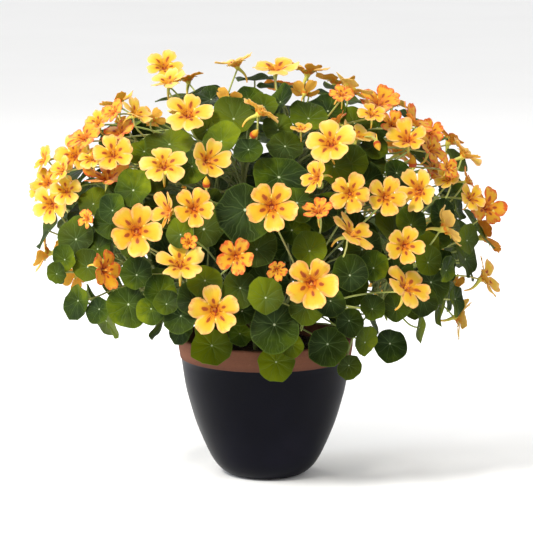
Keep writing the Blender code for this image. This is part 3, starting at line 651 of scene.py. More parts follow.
# Leaves and blooms of the front view that crowd behind the listed ones, in the same columns
CROWDED_LEAVES = [
    (-36, 412, 25, -5, 36, 0.90),
    (-2, 424, 16, 10, 46, 0.93),
    (-66, 398, 18, -10, 40, 0.88),
    (-170, 383, 20, -25, 40, 0.90),
    (-137, 399, 18, -20, 42, 0.88),
    (-229, 249, 15, -30, 8, 1.02),
    (-238, 232, 13, -14, 4, 1.04),
    (-203, 241, 18, -25, 10, 0.95),
    (-113, 198, 15, -10, 25, 0.92),
    (-98, 180, 20, -15, 25, 0.92),
    (-82, 202, 20, 0, 25, 0.87),
    (-27, 186, 15, 0, 28, 0.88),
    (190, 218, 22, 30, 15, 0.94),
    (185, 246, 17, 30, 20, 0.92),
    (207, 236, 17, 45, 10, 0.97),
    (122, 192, 15, 20, 10, 0.93),
    (230, 271, 18, 50, 10, 0.98),
    (202, 322, 18, 40, 20, 0.93),
    (100, 406, 18, 10, 42, 0.91),
    (123, 376, 15, 10, 36, 0.90),
    (150, 345, 20, 15, 30, 0.90),
    (40, 330, 24, 5, 26, 0.86),
    (-10, 262, 24, -4, 16, 0.88),
    (-150, 330, 22, -15, 26, 0.90),
    (-60, 330, 24, -8, 24, 0.86),
    (110, 262, 22, 10, 16, 0.90),
    (0, 206, 20, 0, 16, 0.90),
    (46, 190, 18, 8, 18, 0.90),
    (-150, 268, 20, -14, 16, 0.92),
    (150, 236, 20, 18, 16, 0.92),
    (-131, 188, 16, -10, 16, 0.96),
    (-120, 190, 15, -4, 14, 0.92),
    (14, 398, 18, 6, 40, 0.90),
    (-20, 372, 18, 4, 40, 0.88),
    (62, 300, 20, 8, 20, 0.86),
    (70, 308, 18, 12, 24, 0.84),
    (140, 352, 18, 10, 30, 0.90),
    (180, 198, 17, 24, 6, 0.97),
    (170, 192, 15, 30, 4, 0.94),
    (-2, 370, 20, 2, 34, 0.84),
    (96, 360, 20, 8, 30, 0.84),
    (112, 338, 22, 10, 26, 0.84),
    (62, 336, 22, 8, 26, 0.84),
    (-84, 352, 22, -6, 30, 0.84),
    (200, 300, 18, 36, 16, 0.90),
    (-176, 292, 20, -20, 18, 0.88),
    (-128, 342, 20, -14, 30, 0.86),
    (30, 284, 22, 2, 18, 0.84),
    (210, 330, 18, 40, 24, 0.88),
    (-118, 196, 17, -6, 16, 0.90),
    (-162, 322, 20, -16, 20, 0.90),
    (-174, 306, 18, -20, 22, 0.92),
    (88, 342, 20, 6, 26, 0.86),
    (118, 356, 18, 10, 30, 0.86),
    (126, 400, 18, 10, 40, 0.92),
    (70, 420, 20, 6, 46, 0.92),
    (180, 262, 20, 26, 14, 0.90),
    (194, 274, 18, 34, 14, 0.92),
]
CROWDED_STALK = 110 * MM
CROWDED_BLOOMS = [
    (-257, 327, 17, -50, 22, 1.06, "gold"),
    (-231, 350, 19, -30, 42, 1.05, "gold"),
    (-196, 364, 18, -18, 50, 1.03, "cream"),
    (-226, 326, 19, -10, 26, 1.02, "cream"),
    (-190, 404, 17, -40, 40, 1.08, "gold"),
    (144, 402, 18, 30, 40, 1.05, "flame"),
    (186, 392, 17, 30, 30, 1.06, "flame"),
    (207, 352, 16, 20, 30, 1.02, "flame"),
    (120, 414, 17, 0, 60, 1.06, "gold"),
    (233, 318, 17, 40, 34, 1.05, "gold"),
    (86, 436, 16, 20, 62, 1.08, "flame"),
]

# Leaves low over the pot: distance from its axis and height in millimetres, radius, and how far they face up
SKIRT_STEPS = 150
SKIRT_SPACING = 27 * MM
SKIRT_OUT = (30, 122)
SKIRT_UP = (178, 250)
SKIRT_RADII = (16, 26)
SKIRT_LIFT = (0.2, 0.9)
SKIRT_STALK = 45 * MM

# How far the scene's own leaves and blooms may reach out of the solids' box
BOX_ROOM = 8 * MM
# Behind this the blooms aren't seen in the photograph
REAR_FROM = 40 * MM

# Leaves that catch the light in the front view: across and up, as in the lists above
SUNLIT_LEAVES = [(-62, 146), (12, 126), (30, 147), (-109, 379), (-69, 221)]
# The same for leaves in the shade
SHADED_LEAVES = [
    (10, 168), (71, 146), (-97, 163), (96, 174), (-82, 202), (-98, 180), (-27, 186), (96, 232), (74, 197),
]
# A leaf this near to such a place is taken for the one meant
SEEN_NEAR = 8 * MM

# A piece's finishes by number. Leaves have the first two, shoots, pot and soil only the first.
FACE, BACK, CALYX_SKIN, STAMEN_SKIN = range(4)
# What tells the parts of a calyx apart in its finish
CUP_PART, BUD_PART, SPUR_PART = 0.2, 0.3, 0.7

# Blooms, in shares of their radius unless in millimetres
PETAL_ROWS, PETAL_COLUMNS = 12, 13
PETAL_THICK = 0.35 * MM
PETAL_ROOT = 0.10
PETAL_LENGTH = (0.90, 1.02)
# Where a petal's end starts to round off
PETAL_SHOULDER = (0.66, 0.74)
UPPER_PETALS = (0, 4)
# Half a petal's width at the throat, and what the width gains towards the end
PETAL_FOOT = 0.065
PETAL_WIDTH = (0.27, 0.36)
FUNNEL_DEPTH, FUNNEL_RADIUS = 0.38, 0.46
# How much more or less than on its solid a bloom's petals rise
OPENING = (-0.12, 0.30)
# The calyx cup's wall, up the outside and down into the throat: height, forward shift and radius
CALYX = [
    (-0.36, 0.01, 0.10), (-0.29, 0.015, 0.142), (-0.22, 0.01, 0.172), (-0.160, 0, 0.200),
    (-0.153, 0, 0.190), (-0.22, 0, 0.146), (-0.28, 0, 0.118), (-0.325, 0, 0.06),
]
CALYX_SIDES = 14
SEPAL_POINTS = 5
SEPAL_FROM, SEPAL_LENGTH, SEPAL_WIDTH = 0.17, 0.34, 0.105
SPUR_START = Vector((0, 0.045, -0.36))
SPUR_STEPS, SPUR_SIDES = 8, 8
SPUR_ROOT, SPUR_THINNING = 0.10, 0.068
STAMENS, STAMEN_SIDES = 7, 5
STAMEN_FOOT = -0.31
STAMEN_LEAN = (0.02, 0.075)
STAMEN_ENDS = (0.02, 0.10)
STAMEN_WIDTHS = [0.007, 0.007, 0.008, 0.018, 0.006]
BUD_STEPS, BUD_SIDES = 10, 12
BUD_SPUR_STEPS, BUD_SPUR_SIDES = 5, 7

LEAF_RINGS, LEAF_SPOKES = 8, 54
LEAF_THICK = 0.45 * MM
LEAF_VEINS = 9

STALK_STEPS, STALK_SIDES = 12, 7
# How far a stalk sways to the sides, in millimetres
STALK_SWAY = 1.2
TUBE_TAPER = 0.85
STEM_SIDES = 12
# A stem swells by this share at its joints, which are eight points apart
JOINT_SWELLING = 0.10
# How thick a leader and a side shoot are at their tips, their feet being 1
STEM_TAPERS = (0.55, 0.6)

POT_SEGMENTS = 144
DRAIN_SIDES = 36
LIP_STEPS = 8
SOIL_SEGMENTS = 72
SOIL_RINGS = 26
SOIL_EDGE = 90.5 * MM
# How rough the soil's top is, in millimetres, and how fine
SOIL_RELIEF = 2.2
SOIL_GRAIN = 70
CRUMBS = 520
CRUMBS_REACH = 87 * MM
# Radii in millimetres
CRUMB_SIZES = (0.7, 2.3)
# Marks the profile points whose height the rough top of the soil gives
ON_SOIL_TOP = 1.0

# Seeds of the fine shapes, one for each growth after these
BLOOM_SEED, BUD_SEED, LEAF_SEED = SEED + 5000, SEED + 7000, SEED + 9000

# Where the lens points, and its view as in the photograph
AIM = Vector((0.001, 0, 0.239))
LENS = 180.84
SENSOR = 36
FLOOR_RADIUS, FLOOR_SIDES = 22, 96
DAYLIGHT = 0.95
# Name, place, size in metres, power in watts, colour
LAMPS = [
    ("key", (-1.3, -1.9, 2.4), 0.7, 120, (1.0, 0.97, 0.91)),
    ("side", (-2.4, -0.5, 0.9), 1.0, 30, (0.86, 0.92, 1.0)),
    ("back", (-0.6, 2.0, 2.2), 1.0, 30, (1.0, 0.98, 0.94)),
]


def spread_out(a, low, high):
    """A smooth step of an array from 0 at low to 1 at high."""
    share = np.clip((a - low) / (high - low), 0, 1)
    return share * share * (3 - 2 * share)


def round_angles(count):
    return [k * 2 * math.pi / count for k in range(count)]


def placed(name, data):
    """A new object of the scene that holds the data."""
    made = bpy.data.objects.new(name, data)
    bpy.context.scene.collection.objects.link(made)
    return made


class Patchwork:
    """Surfaces gathered into one mesh. Each point has a place on its blade and numbers for its variation."""

    def __init__(self):
        self.points, self.spread, self.nature, self.faces, self.finish = [], [], [], [], []
        self.count = 0

    def add(self, points, faces, finish, spread=None, nature=(0.5, 0.5, 0.5)):
        points = np.asarray(points, float).reshape(-1, 3)
        self.points.append(points)
        spread = np.zeros_like(points) if spread is None else np.asarray(spread, float)
        self.spread.append(spread.reshape(-1, 3))
        self.nature.append(np.broadcast_to(np.asarray(nature, float), points.shape))
        self.faces += [tuple(self.count + k for k in face) for face in faces]
        self.finish += finish if isinstance(finish, list) else [finish] * len(faces)
        self.count += len(points)

    def blade(self, grid, spread, nature, thick, place, finish, ring=False):
        """A thin solid from a grid of points. ring closes its columns round the first row, a single point."""
        rows, columns = grid.shape[:2]
        along = np.gradient(grid, axis=0)
        if ring:
            across = np.roll(grid, -1, axis=1) - np.roll(grid, 1, axis=1)
        else:
            across = np.gradient(grid, axis=1)
        normal = np.cross(along, across)
        normal /= np.maximum(np.linalg.norm(normal, axis=2, keepdims=True), 1e-12)
        if normal[1:, :, 2].mean() < 0:
            normal = -normal
        if ring:
            middle = normal[1].mean(axis=0)
            normal[0] = middle / np.linalg.norm(middle)
        sides = [grid + normal * thick / 2, grid - normal * thick / 2]
        keep = np.array([0, *range(columns, rows * columns)] if ring else range(rows * columns))
        number = np.zeros(rows * columns, int)
        number[keep] = range(len(keep))
        number = number.reshape(rows, columns)
        if ring:
            number[0] = 0
            number = np.concatenate([number, number[:, :1]], axis=1)
        turns = np.cross(along[-1, columns // 2], across[-1, columns // 2])
        front = np.dot(turns, normal[-1, columns // 2]) > 0
        half, faces = len(keep), []
        for i in range(rows - 1):
            for j in range(number.shape[1] - 1):
                corners = [number[i, j], number[i + 1, j], number[i + 1, j + 1], number[i, j + 1]]
                if corners[0] == corners[3]:
                    corners.pop()
                if not front:
                    corners.reverse()
                faces += [tuple(corners), tuple(half + k for k in reversed(corners))]
        kinds = list(finish) * (len(faces) // 2)
        edge = list(number[-1])
        if not ring:
            edge = [*number[0], *number[1:, -1], *number[-1, -2::-1], *number[-2::-1, 0]]
        for a, b in zip(edge, edge[1:]):
            faces.append((a, b, half + b, half + a))
            kinds.append(finish[0])
        points = np.concatenate([side.reshape(-1, 3)[keep] for side in sides])
        places = np.concatenate([spread.reshape(-1, 3)[keep]] * 2)
        matrix = np.array(place)
        self.add(points @ matrix[:3, :3].T + matrix[:3, 3], faces, kinds, places, nature)

    def stack(self, rings, marks, finish, nature):
        """A body through rings of equally many points, closed at both ends, with two marks for each ring."""
        sides, count = len(rings[0]), len(rings[0]) * len(rings)
        faces = [tuple(reversed(range(sides))), tuple(range(count - sides, count))]
        for start in range(0, count - sides, sides):
            for corner in range(sides):
                a, b = start + corner, start + (corner + 1) % sides
                faces.append((a, b, b + sides, a + sides))
        spread = [(share, corner / sides, length) for share, length in marks for corner in range(sides)]
        self.add([at for ring in rings for at in ring], faces, finish, spread, nature)

    def tube(self, path, radii, sides, finish, nature):
        """A round tube through the path, closed at both ends."""
        side = (path[1] - path[0]).orthogonal().normalized()
        rings, marks, length = [], [], 0
        for k, at in enumerate(path):
            way = (path[min(k + 1, len(path) - 1)] - path[max(k - 1, 0)]).normalized()
            side = (side - way * side.dot(way)).normalized()
            other = way.cross(side)
            length += (at - path[k - 1]).length if k else 0
            outward = [side * math.cos(a) + other * math.sin(a) for a in round_angles(sides)]
            rings.append([at + direction * radii[k] for direction in outward])
            marks.append((k / (len(path) - 1), length))
        self.stack(rings, marks, finish, nature)

    def lathe(self, profile, sides, place, finish, nature):
        """A body turned about the local z axis from rows of height, shift along y and radius."""
        rings, marks = [], []
        for k, (height, shift, radius) in enumerate(profile):
            ring = [(radius * math.cos(a), shift + radius * math.sin(a), height) for a in round_angles(sides)]
            rings.append([place @ Vector(at) for at in ring])
            marks.append([k / (len(profile) - 1)] * 2)
        self.stack(rings, marks, finish, nature)

    def piece(self, name, finishes, replaced, slot, sharp=50):
        """The mesh as a piece of the scene, riding on the root and standing for its solid."""
        mesh = bpy.data.meshes.new(name)
        mesh.from_pydata(np.concatenate(self.points).tolist(), [], self.faces)
        for title, rows in (("spread", self.spread), ("nature", self.nature)):
            held = mesh.attributes.new(title, "FLOAT_VECTOR", "POINT")
            held.data.foreach_set("vector", np.concatenate(rows).astype(np.float32).ravel())
        for finish in finishes:
            mesh.materials.append(finish)
        mesh.polygons.foreach_set("material_index", self.finish)
        mesh.polygons.foreach_set("use_smooth", [True] * len(mesh.polygons))
        mesh.set_sharp_from_angle(angle=math.radians(sharp))
        mesh.update()
        piece = placed(name, mesh)
        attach(piece, "root")
        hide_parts(replaced)
        return piece


def turned(out, side, height, angle):
    """A grid of points, out along a direction in a bloom's face and to the side of it."""
    x = out * math.cos(angle) - side * math.sin(angle)
    y = out * math.sin(angle) + side * math.cos(angle)
    return np.stack([x, y, height], axis=2)


def petal_grid(growth, petal, opening, draw):
    """One petal's points in the bloom's frame, in units of its radius, with their places on it."""
    s = np.linspace(0, 1, PETAL_ROWS)[:, None] ** 0.9
    t = np.sin(np.linspace(-math.pi / 2, math.pi / 2, PETAL_COLUMNS))[None, :]
    length = draw.uniform(*PETAL_LENGTH)
    shoulder = draw.uniform(*PETAL_SHOULDER)
    lobes = 0.026 * np.cos(t * draw.uniform(5, 10) + draw.uniform(0, 6))
    lobes = lobes - draw.uniform(0, 0.06) * np.exp(-((t / 0.22) ** 2))
    end = shoulder + (length - shoulder + lobes) * (1 - np.abs(t) ** 2.5) ** 0.48
    out = PETAL_ROOT + (end - PETAL_ROOT) * s
    rise = np.sin(np.clip(s / 0.92, 0, 1) * math.pi / 2) ** 1.5
    side = t * (PETAL_FOOT + draw.uniform(*PETAL_WIDTH) * rise)
    reach = np.hypot(out, side)
    flare = np.maximum(reach - THROAT, 0)
    height = (growth.cup * 1.4 + opening) * flare**2
    height = height - FUNNEL_DEPTH * np.maximum(0, 1 - reach / FUNNEL_RADIUS) ** 1.6
    height += draw.uniform(-0.02, 0.10) * t * s
    # Folds, the finest of them at the very end
    height += s**2 * 0.030 * np.sin(t * draw.uniform(3, 5) + draw.uniform(0, 6))
    height += s**3 * 0.045 * np.sin(t * draw.uniform(1.4, 2.4) + draw.uniform(0, 6))
    height += draw.uniform(-0.30, 0.14) * flare**2 - draw.uniform(-0.04, 0.14) * t**2 * s
    height += s**4 * 0.016 * np.sin(t * draw.uniform(9, 13) + draw.uniform(0, 6))
    angle = math.radians(FIRST_PETAL + PETAL_TURN * petal + draw.uniform(-5, 5)) + growth.roll
    margin = np.maximum(s * np.ones_like(t), np.abs(t) * spread_out(s, 0.1, 0.5))
    return turned(out, side, height, angle), np.stack([out, side, margin], axis=2)


def sepal_grid(growth, sepal):
    """A pointed sepal behind the gap between two petals."""
    s = np.linspace(0, 1, SEPAL_POINTS)[:, None]
    t = np.linspace(-1, 1, SEPAL_POINTS)[None, :]
    out = SEPAL_FROM + SEPAL_LENGTH * s + 0 * t
    side = t * (SEPAL_WIDTH * np.sin(np.clip(0.25 + s * 0.75, 0, 1) * math.pi) ** 0.8 + 0.004)
    height = -0.235 + 0.175 * spread_out(s, 0, 0.6) - 0.05 * s**3 + 0.02 * t**2
    angle = math.radians(FIRST_GAP + PETAL_TURN * sepal) + growth.roll
    return turned(out, side, height, angle), np.stack([out, side, s + 0 * t], axis=2)


def add_spur(work, growth, place, own):
    """A bloom's spur, bent a little upwards on its way to the tip of its solid's spur."""
    tip = growth.spur_tip() / growth.radius
    path, widths = [], []
    for k in range(SPUR_STEPS + 1):
        share = k / SPUR_STEPS
        at = SPUR_START.lerp(tip, share)
        at.y += 0.10 * math.sin(share * math.pi) - 0.05 * share**3
        path.append(place @ at)
        widths.append(growth.radius * (SPUR_ROOT - SPUR_THINNING * share**0.7))
    work.tube(path, widths, SPUR_SIDES, CALYX_SKIN, (own, SPUR_PART, 1))


def add_stamens(work, growth, place, own, draw):
    """Thin filaments out of the throat, each with a thicker anther at its end."""
    widths = [width * growth.radius for width in STAMEN_WIDTHS]
    for _ in range(STAMENS):
        angle = draw.uniform(0, 2 * math.pi)
        lean = draw.uniform(*STAMEN_LEAN)
        end = Vector((lean * math.cos(angle), lean * math.sin(angle) - 0.03, draw.uniform(*STAMEN_ENDS)))
        start = Vector((end.x * 0.3, end.y * 0.3, STAMEN_FOOT))
        anther = [end + Vector((0, -0.005, 0.03)), end + Vector((0, -0.008, 0.042))]
        path = [start, start.lerp(end, 0.6) + Vector((0, -0.01, 0)), end, *anther]
        work.tube([place @ at for at in path], widths, STAMEN_SIDES, STAMEN_SKIN, (own, 0.5, 1))


def fine_bloom(work, growth, number):
    """Petals, sepals, the calyx cup, spur and stamens."""
    draw = random.Random(BLOOM_SEED + number)
    place = growth.matrix() @ Matrix.Scale(growth.radius, 4)
    own = draw.random()
    thick = PETAL_THICK / growth.radius
    opening = draw.uniform(*OPENING)
    for petal in range(PETALS):
        grid, spread = petal_grid(growth, petal, opening, draw)
        upper = 1.0 if petal in UPPER_PETALS else 0.0
        work.blade(grid, spread, (own, draw.random(), upper), thick, place, (FACE, BACK))
    for sepal in range(PETALS):
        grid, spread = sepal_grid(growth, sepal)
        work.blade(grid, spread, (own, draw.random(), 0), thick, place, (CALYX_SKIN, CALYX_SKIN))
    foot = STALK_RADIUS / growth.radius
    cup = [(-0.42, -0.02, foot * 0.8), (-0.39, -0.01, foot * 1.5), *CALYX]
    work.lathe(cup, CALYX_SIDES, place, CALYX_SKIN, (own, CUP_PART, 1))
    add_spur(work, growth, place, own)
    add_stamens(work, growth, place, own, draw)


def fine_bud(work, growth, number):
    """A closed bud: its petals as one rounded body in a calyx that holds a short spur."""
    draw = random.Random(BUD_SEED + number)
    place = growth.matrix() @ Matrix.Scale(growth.radius, 4)
    own = draw.random()
    path, widths = [], []
    for k in range(BUD_STEPS + 1):
        share = k / BUD_STEPS
        path.append(place @ Vector((0, 0, -0.85 + 1.8 * share)))
        widths.append(growth.radius * (0.05 + 0.42 * math.sin(min(share * 1.06, 1) * math.pi) ** 0.75))
    work.tube(path[:6], widths[:6], BUD_SIDES, CALYX_SKIN, (own, BUD_PART, 1))
    work.tube(path[4:], [w * 0.93 for w in widths[4:]], BUD_SIDES, FACE, (own, draw.random(), 0))
    spur, widths = [], []
    for k in range(BUD_SPUR_STEPS + 1):
        spur.append(place @ Vector((0, 0.25 + 0.5 * k / BUD_SPUR_STEPS, -0.4 - 0.75 * k / BUD_SPUR_STEPS)))
        widths.append(growth.radius * (0.14 - 0.017 * k))
    work.tube(spur, widths, BUD_SPUR_SIDES, CALYX_SKIN, (own, SPUR_PART, 1))


def leaf_grid(growth, draw):
    """A dished leaf, puckered between its veins, from its hub to its rim, with the points' places on it."""
    angles = math.radians(-90) + np.arange(LEAF_SPOKES) * 2 * math.pi / LEAF_SPOKES
    share = (np.linspace(0, 1, LEAF_RINGS) ** 0.85)[:, None]
    ripple, lift, corners = draw.uniform(0, 6.28), draw.uniform(0.02, 0.06), draw.uniform(0.01, 0.06)
    rim = np.array([growth.leaf_point(angle, 1) for angle in angles]) / growth.radius
    hub = np.array([0, -LEAF_HOLD, 0])
    vein = np.abs(np.sin((angles + math.pi / 2) * LEAF_VEINS / 2))
    outline = 1 + corners * ((1 - vein) ** 1.4 - 0.35)
    outline = outline + draw.uniform(0, 0.035) * np.cos(2 * angles + draw.uniform(0, 6.28))
    outline = outline + draw.uniform(0, 0.025) * np.cos(3 * angles + draw.uniform(0, 6.28))
    edge = (rim[:, :2] * outline[:, None])[None] - hub[None, None, :2]
    flat = hub[None, None, :2] + share[..., None] * edge
    height = share**2 * rim[None, :, 2] - LEAF_DIP * (1 - LEAF_HOLD) * (1 - share) ** 1.2
    height = height + 0.028 * np.sin(share * math.pi) * (vein - 0.5)[None]
    height = height + lift * share**3 * np.sin(draw.choice((5, 6, 7)) * angles + ripple)[None]
    height = height + draw.uniform(0, 0.07) * share**2 * np.sin(2 * angles + ripple * 2)[None]
    spread = np.concatenate([flat - hub[:2], (share + 0 * angles[None])[..., None]], axis=2)
    return np.concatenate([flat, height[..., None]], axis=2), spread


def crown_depth(point):
    """0 at the crown's centre and 1 at its surface."""
    return in_crown_units(point, crown_radii(point.z)).length


def near_any(seen, places):
    return any(math.hypot(seen.x - across * MM, seen.z - up * MM) < SEEN_NEAR for across, up in places)


def fine_leaf(work, growth, number):
    """A leaf with its own tone of green; leaves listed as sunlit get painted light, and those listed as
    shaded get painted shade.
    """
    draw = random.Random(LEAF_SEED + number)
    grid, spread = leaf_grid(growth, draw)
    yellow = draw.random() ** 2.4 * 0.8
    own = draw.random()
    seen = EYE.lerp(growth.centre, EYE.y / (EYE.y - growth.centre.y))
    # Painted light: a leaf listed as sunlit is painted yellow green; painted shade: one listed as shaded is
    # painted darker
    if near_any(seen, SUNLIT_LEAVES):
        yellow = 0.95
    if near_any(seen, SHADED_LEAVES):
        own, yellow = own * 0.25, 0.05
    # The third number, the leaf's depth in the crown, sets how much painted shade it gets
    nature = (own, yellow, crown_depth(growth.centre))
    place = growth.matrix() @ Matrix.Scale(growth.radius, 4)
    work.blade(grid, spread, nature, LEAF_THICK / growth.radius, place, (FACE, BACK), ring=True)


def fine_stalk(work, growth):
    path = stalk_path(growth.stalk[0], growth, STALK_STEPS)
    path[0] = path[0] - (path[1] - path[0]).normalized() * ROOT_DEPTH
    draw = random.Random(round(path[-1].x * 1e6))
    sway = Vector([draw.uniform(-1, 1) for _ in range(3)]) * STALK_SWAY * MM
    for k in range(1, STALK_STEPS):
        path[k] = path[k] + sway * math.sin(k / STALK_STEPS * math.pi * 2)
    radii = [STALK_RADIUS * (1 - (1 - TUBE_TAPER) * k / STALK_STEPS) for k in range(STALK_STEPS + 1)]
    radii[0] *= 1.5
    work.tube(path, radii, STALK_SIDES, FACE, (draw.random(), draw.random(), 0))


def fine_stem(work, stem, routes):
    """The leader and side shoot with slight swellings at their joints."""
    for route, radius, taper in zip(routes, (STEM_RADIUS, SIDE_SHOOT_RADIUS), STEM_TAPERS):
        fine = smooth_path(route, 4)
        last = len(fine) - 1
        radii = []
        for k in range(last + 1):
            joint = JOINT_SWELLING * max(0, math.cos(k * math.pi / 4)) ** 6
            radii.append(radius * (1 - (1 - taper) * k / last) * (1 + joint))
        path = [*fine, fine[-1] + (fine[-1] - fine[-2]) * 0.6]
        work.tube(path, [*radii, radii[-1] * 0.35], STEM_SIDES, FACE, (stem / STEM_COUNT, 0.5, 1))


# Pot and soil


def revolved(profile, segments):
    """Points and faces turned from a closed (radius, height) profile whose ends are on the axis."""
    points, faces = [(0, 0, profile[0][1])], []
    rings = profile[1:-1]
    for radius, height in rings:
        points += [(radius * math.cos(a), radius * math.sin(a), height) for a in round_angles(segments)]
    points.append((0, 0, profile[-1][1]))
    last = len(points) - 1
    for k in range(segments):
        after = (k + 1) % segments
        faces.append((0, 1 + after, 1 + k))
        for ring in range(len(rings) - 1):
            a, b = 1 + ring * segments + k, 1 + ring * segments + after
            faces.append((a, b, b + segments, a + segments))
        end = 1 + (len(rings) - 1) * segments
        faces.append((end + k, end + after, last))
    return points, faces


def rounded(profile, steps):
    """A smooth curve through a profile in millimetres, in metres."""
    path = smooth_path([Vector((radius, height, 0)) for radius, height in profile], steps)
    return [(at.x * MM, at.y * MM) for at in path]


def pot_profile():
    """(radius, height) from the middle of the floor over the lip to the middle of the underside."""
    band = POT_HEIGHT - BAND_HEIGHT
    outer = rounded([*BODY_PROFILE, (BAND_RADIUS / MM - 0.7, (band - 1 * MM) / MM)], 5)
    wall = rounded([(radius - WALL / MM, height) for radius, height in BODY_PROFILE[3:]], 4)
    lip = []
    for k in range(LIP_STEPS + 1):
        angle = math.pi * k / LIP_STEPS
        across = RIM_RADIUS - WALL / 2 - math.cos(angle) * WALL / 2
        lip.append((across, POT_HEIGHT - LIP_ROUND + math.sin(angle) * LIP_ROUND))
    inside = [(0, FLOOR), (20 * MM, FLOOR), (wall[0][0] - 6 * MM, FLOOR + 1 * MM), *wall]
    outside = [
        (BAND_RADIUS + BAND_STEP + 1.6 * MM, band + 12 * MM),
        (BAND_RADIUS + BAND_STEP + 0.35 * MM, band + 4 * MM),
        (BAND_RADIUS + BAND_STEP, band + 1.6 * MM),
        (BAND_RADIUS + BAND_STEP * 0.7, band + 0.5 * MM),
        (BAND_RADIUS, band),
    ]
    foot = [(36 * MM, 0), (33 * MM, 1.2 * MM), (20 * MM, 1.4 * MM), (0, 1.4 * MM)]
    return [*inside, *lip, *outside, *reversed(outer[1:]), *foot]


def mesh_of(name, shape):
    mesh = bpy.data.meshes.new(name)
    shape.to_mesh(mesh)
    shape.free()
    return mesh


def fine_pot():
    """The turned pot with its drain holes cut through the floor."""
    work = Patchwork()
    work.add(*revolved(pot_profile(), POT_SEGMENTS), FACE)
    pot = work.piece("pot_turned", (pot_finish(),), "pot", "pot", sharp=60)
    for k in range(DRAIN_COUNT):
        angle = (k + 0.5) * 2 * math.pi / DRAIN_COUNT
        shape = bmesh.new()
        size = {"radius1": DRAIN_RADIUS, "radius2": DRAIN_RADIUS, "depth": 5 * FLOOR}
        bmesh.ops.create_cone(shape, cap_ends=True, segments=DRAIN_SIDES, **size)
        cutter = placed("drain_cutter", mesh_of("drain_cutter", shape))
        cutter.location = (DRAIN_CIRCLE * math.cos(angle), DRAIN_CIRCLE * math.sin(angle), FLOOR / 2)
        cut = pot.modifiers.new("drain", "BOOLEAN")
        cut.operation, cut.solver, cut.object = "DIFFERENCE", "MANIFOLD", cutter
        keep_result(pot)
        bpy.data.objects.remove(cutter)


def keep_result(piece):
    """Applies the piece's modifiers."""
    bpy.context.view_layer.update()
    graph = bpy.context.evaluated_depsgraph_get()
    result = piece.evaluated_get(graph)
    mesh = bpy.data.meshes.new_from_object(result, preserve_all_data_layers=True, depsgraph=graph)
    piece.modifiers.clear()
    piece.data = mesh


def soil_height(x, y):
    radius = math.hypot(x, y)
    mound = SOIL_MOUND * max(0, 1 - (radius / (92 * MM)) ** 2)
    rough = noise.fractal(Vector((x, y, 0)) * SOIL_GRAIN, 1.0, 2.0, 5)
    return SOIL_TOP - 1.5 * MM + mound + rough * SOIL_RELIEF * MM


def add_crumbs(work):
    """Loose crumbs on the soil: small balls, turned, squashed and roughened."""
    shape = bmesh.new()
    bmesh.ops.create_icosphere(shape, subdivisions=1, radius=1)
    ball = [point.co.copy() for point in shape.verts]
    faces = [[point.index for point in face.verts] for face in shape.faces]
    shape.free()
    draw = random.Random(SEED + 3)
    for _ in range(CRUMBS):
        radius, angle = CRUMBS_REACH * math.sqrt(draw.random()), draw.uniform(0, 2 * math.pi)
        x, y = radius * math.cos(angle), radius * math.sin(angle)
        size = draw.uniform(*CRUMB_SIZES) * MM
        turn = Matrix.Rotation(draw.uniform(0, 6), 3, Vector((draw.random(), draw.random(), 1)).normalized())
        squash = Vector((draw.uniform(0.7, 1.2), draw.uniform(0.6, 1.0), draw.uniform(0.5, 0.8)))
        corners = []
        for point in ball:
            rough = 1 + 0.35 * draw.uniform(-1, 1)
            corner = turn @ Vector([point[n] * squash[n] * rough for n in range(3)])
            corners.append(corner * size + Vector((x, y, soil_height(x, y) + size * 0.25)))
        work.add(corners, faces, FACE, nature=(draw.random(), 1, 0))


def fine_soil():
    """The soil's rough top, its side and underside, and loose crumbs."""
    work = Patchwork()
    inside = [(radius * MM - WALL - 1.2 * MM, height * MM) for radius, height in BODY_PROFILE]
    rings = [SOIL_EDGE * (k / SOIL_RINGS) ** 0.9 for k in range(SOIL_RINGS, 0, -1)]
    low = FLOOR + GAP * 2
    profile = [(0, low), (inside[3][0] - 10 * MM, low), inside[3], inside[4], inside[6]]
    profile += [(radius, ON_SOIL_TOP) for radius in [*rings, 0]]
    points, faces = revolved(profile, SOIL_SEGMENTS)
    points = [(x, y, soil_height(x, y) if z == ON_SOIL_TOP else z) for x, y, z in points]
    work.add(points, faces, FACE)
    add_crumbs(work)
    work.piece("soil_crumbly", (soil_finish(),), "soil", "soil", sharp=35)


# Materials


def feed(tree, slot, value):
    """Gives a node's input a field, another node's output, a colour or a plain value."""
    value = value.socket if isinstance(value, Field) else value
    if isinstance(value, bpy.types.NodeSocket):
        tree.links.new(value, slot)
    else:
        slot.default_value = (*value, 1) if isinstance(value, tuple) else value


class Field:
    """A number that varies over a surface. Arithmetic on it adds Math nodes to its tree."""

    def __init__(self, tree, socket):
        self.tree, self.socket = tree, socket

    def calc(self, operation, *others):
        node = self.tree.nodes.new("ShaderNodeMath")
        node.operation = operation
        for slot, value in zip(node.inputs, (self, *others)):
            feed(self.tree, slot, value)
        return Field(self.tree, node.outputs[0])

    __add__ = partialmethod(calc, "ADD")
    __sub__ = partialmethod(calc, "SUBTRACT")
    __mul__ = partialmethod(calc, "MULTIPLY")
    __truediv__ = partialmethod(calc, "DIVIDE")
    __pow__ = partialmethod(calc, "POWER")

    def step(self, low, high, start=0.0, end=1.0):
        """A smooth step from start at low to end at high."""
        node = self.tree.nodes.new("ShaderNodeMapRange")
        node.interpolation_type = "SMOOTHSTEP"
        titles = ("Value", "From Min", "From Max", "To Min", "To Max")
        for title, value in zip(titles, (self, low, high, start, end)):
            feed(self.tree, node.inputs[title], value)
        return Field(self.tree, node.outputs["Result"])


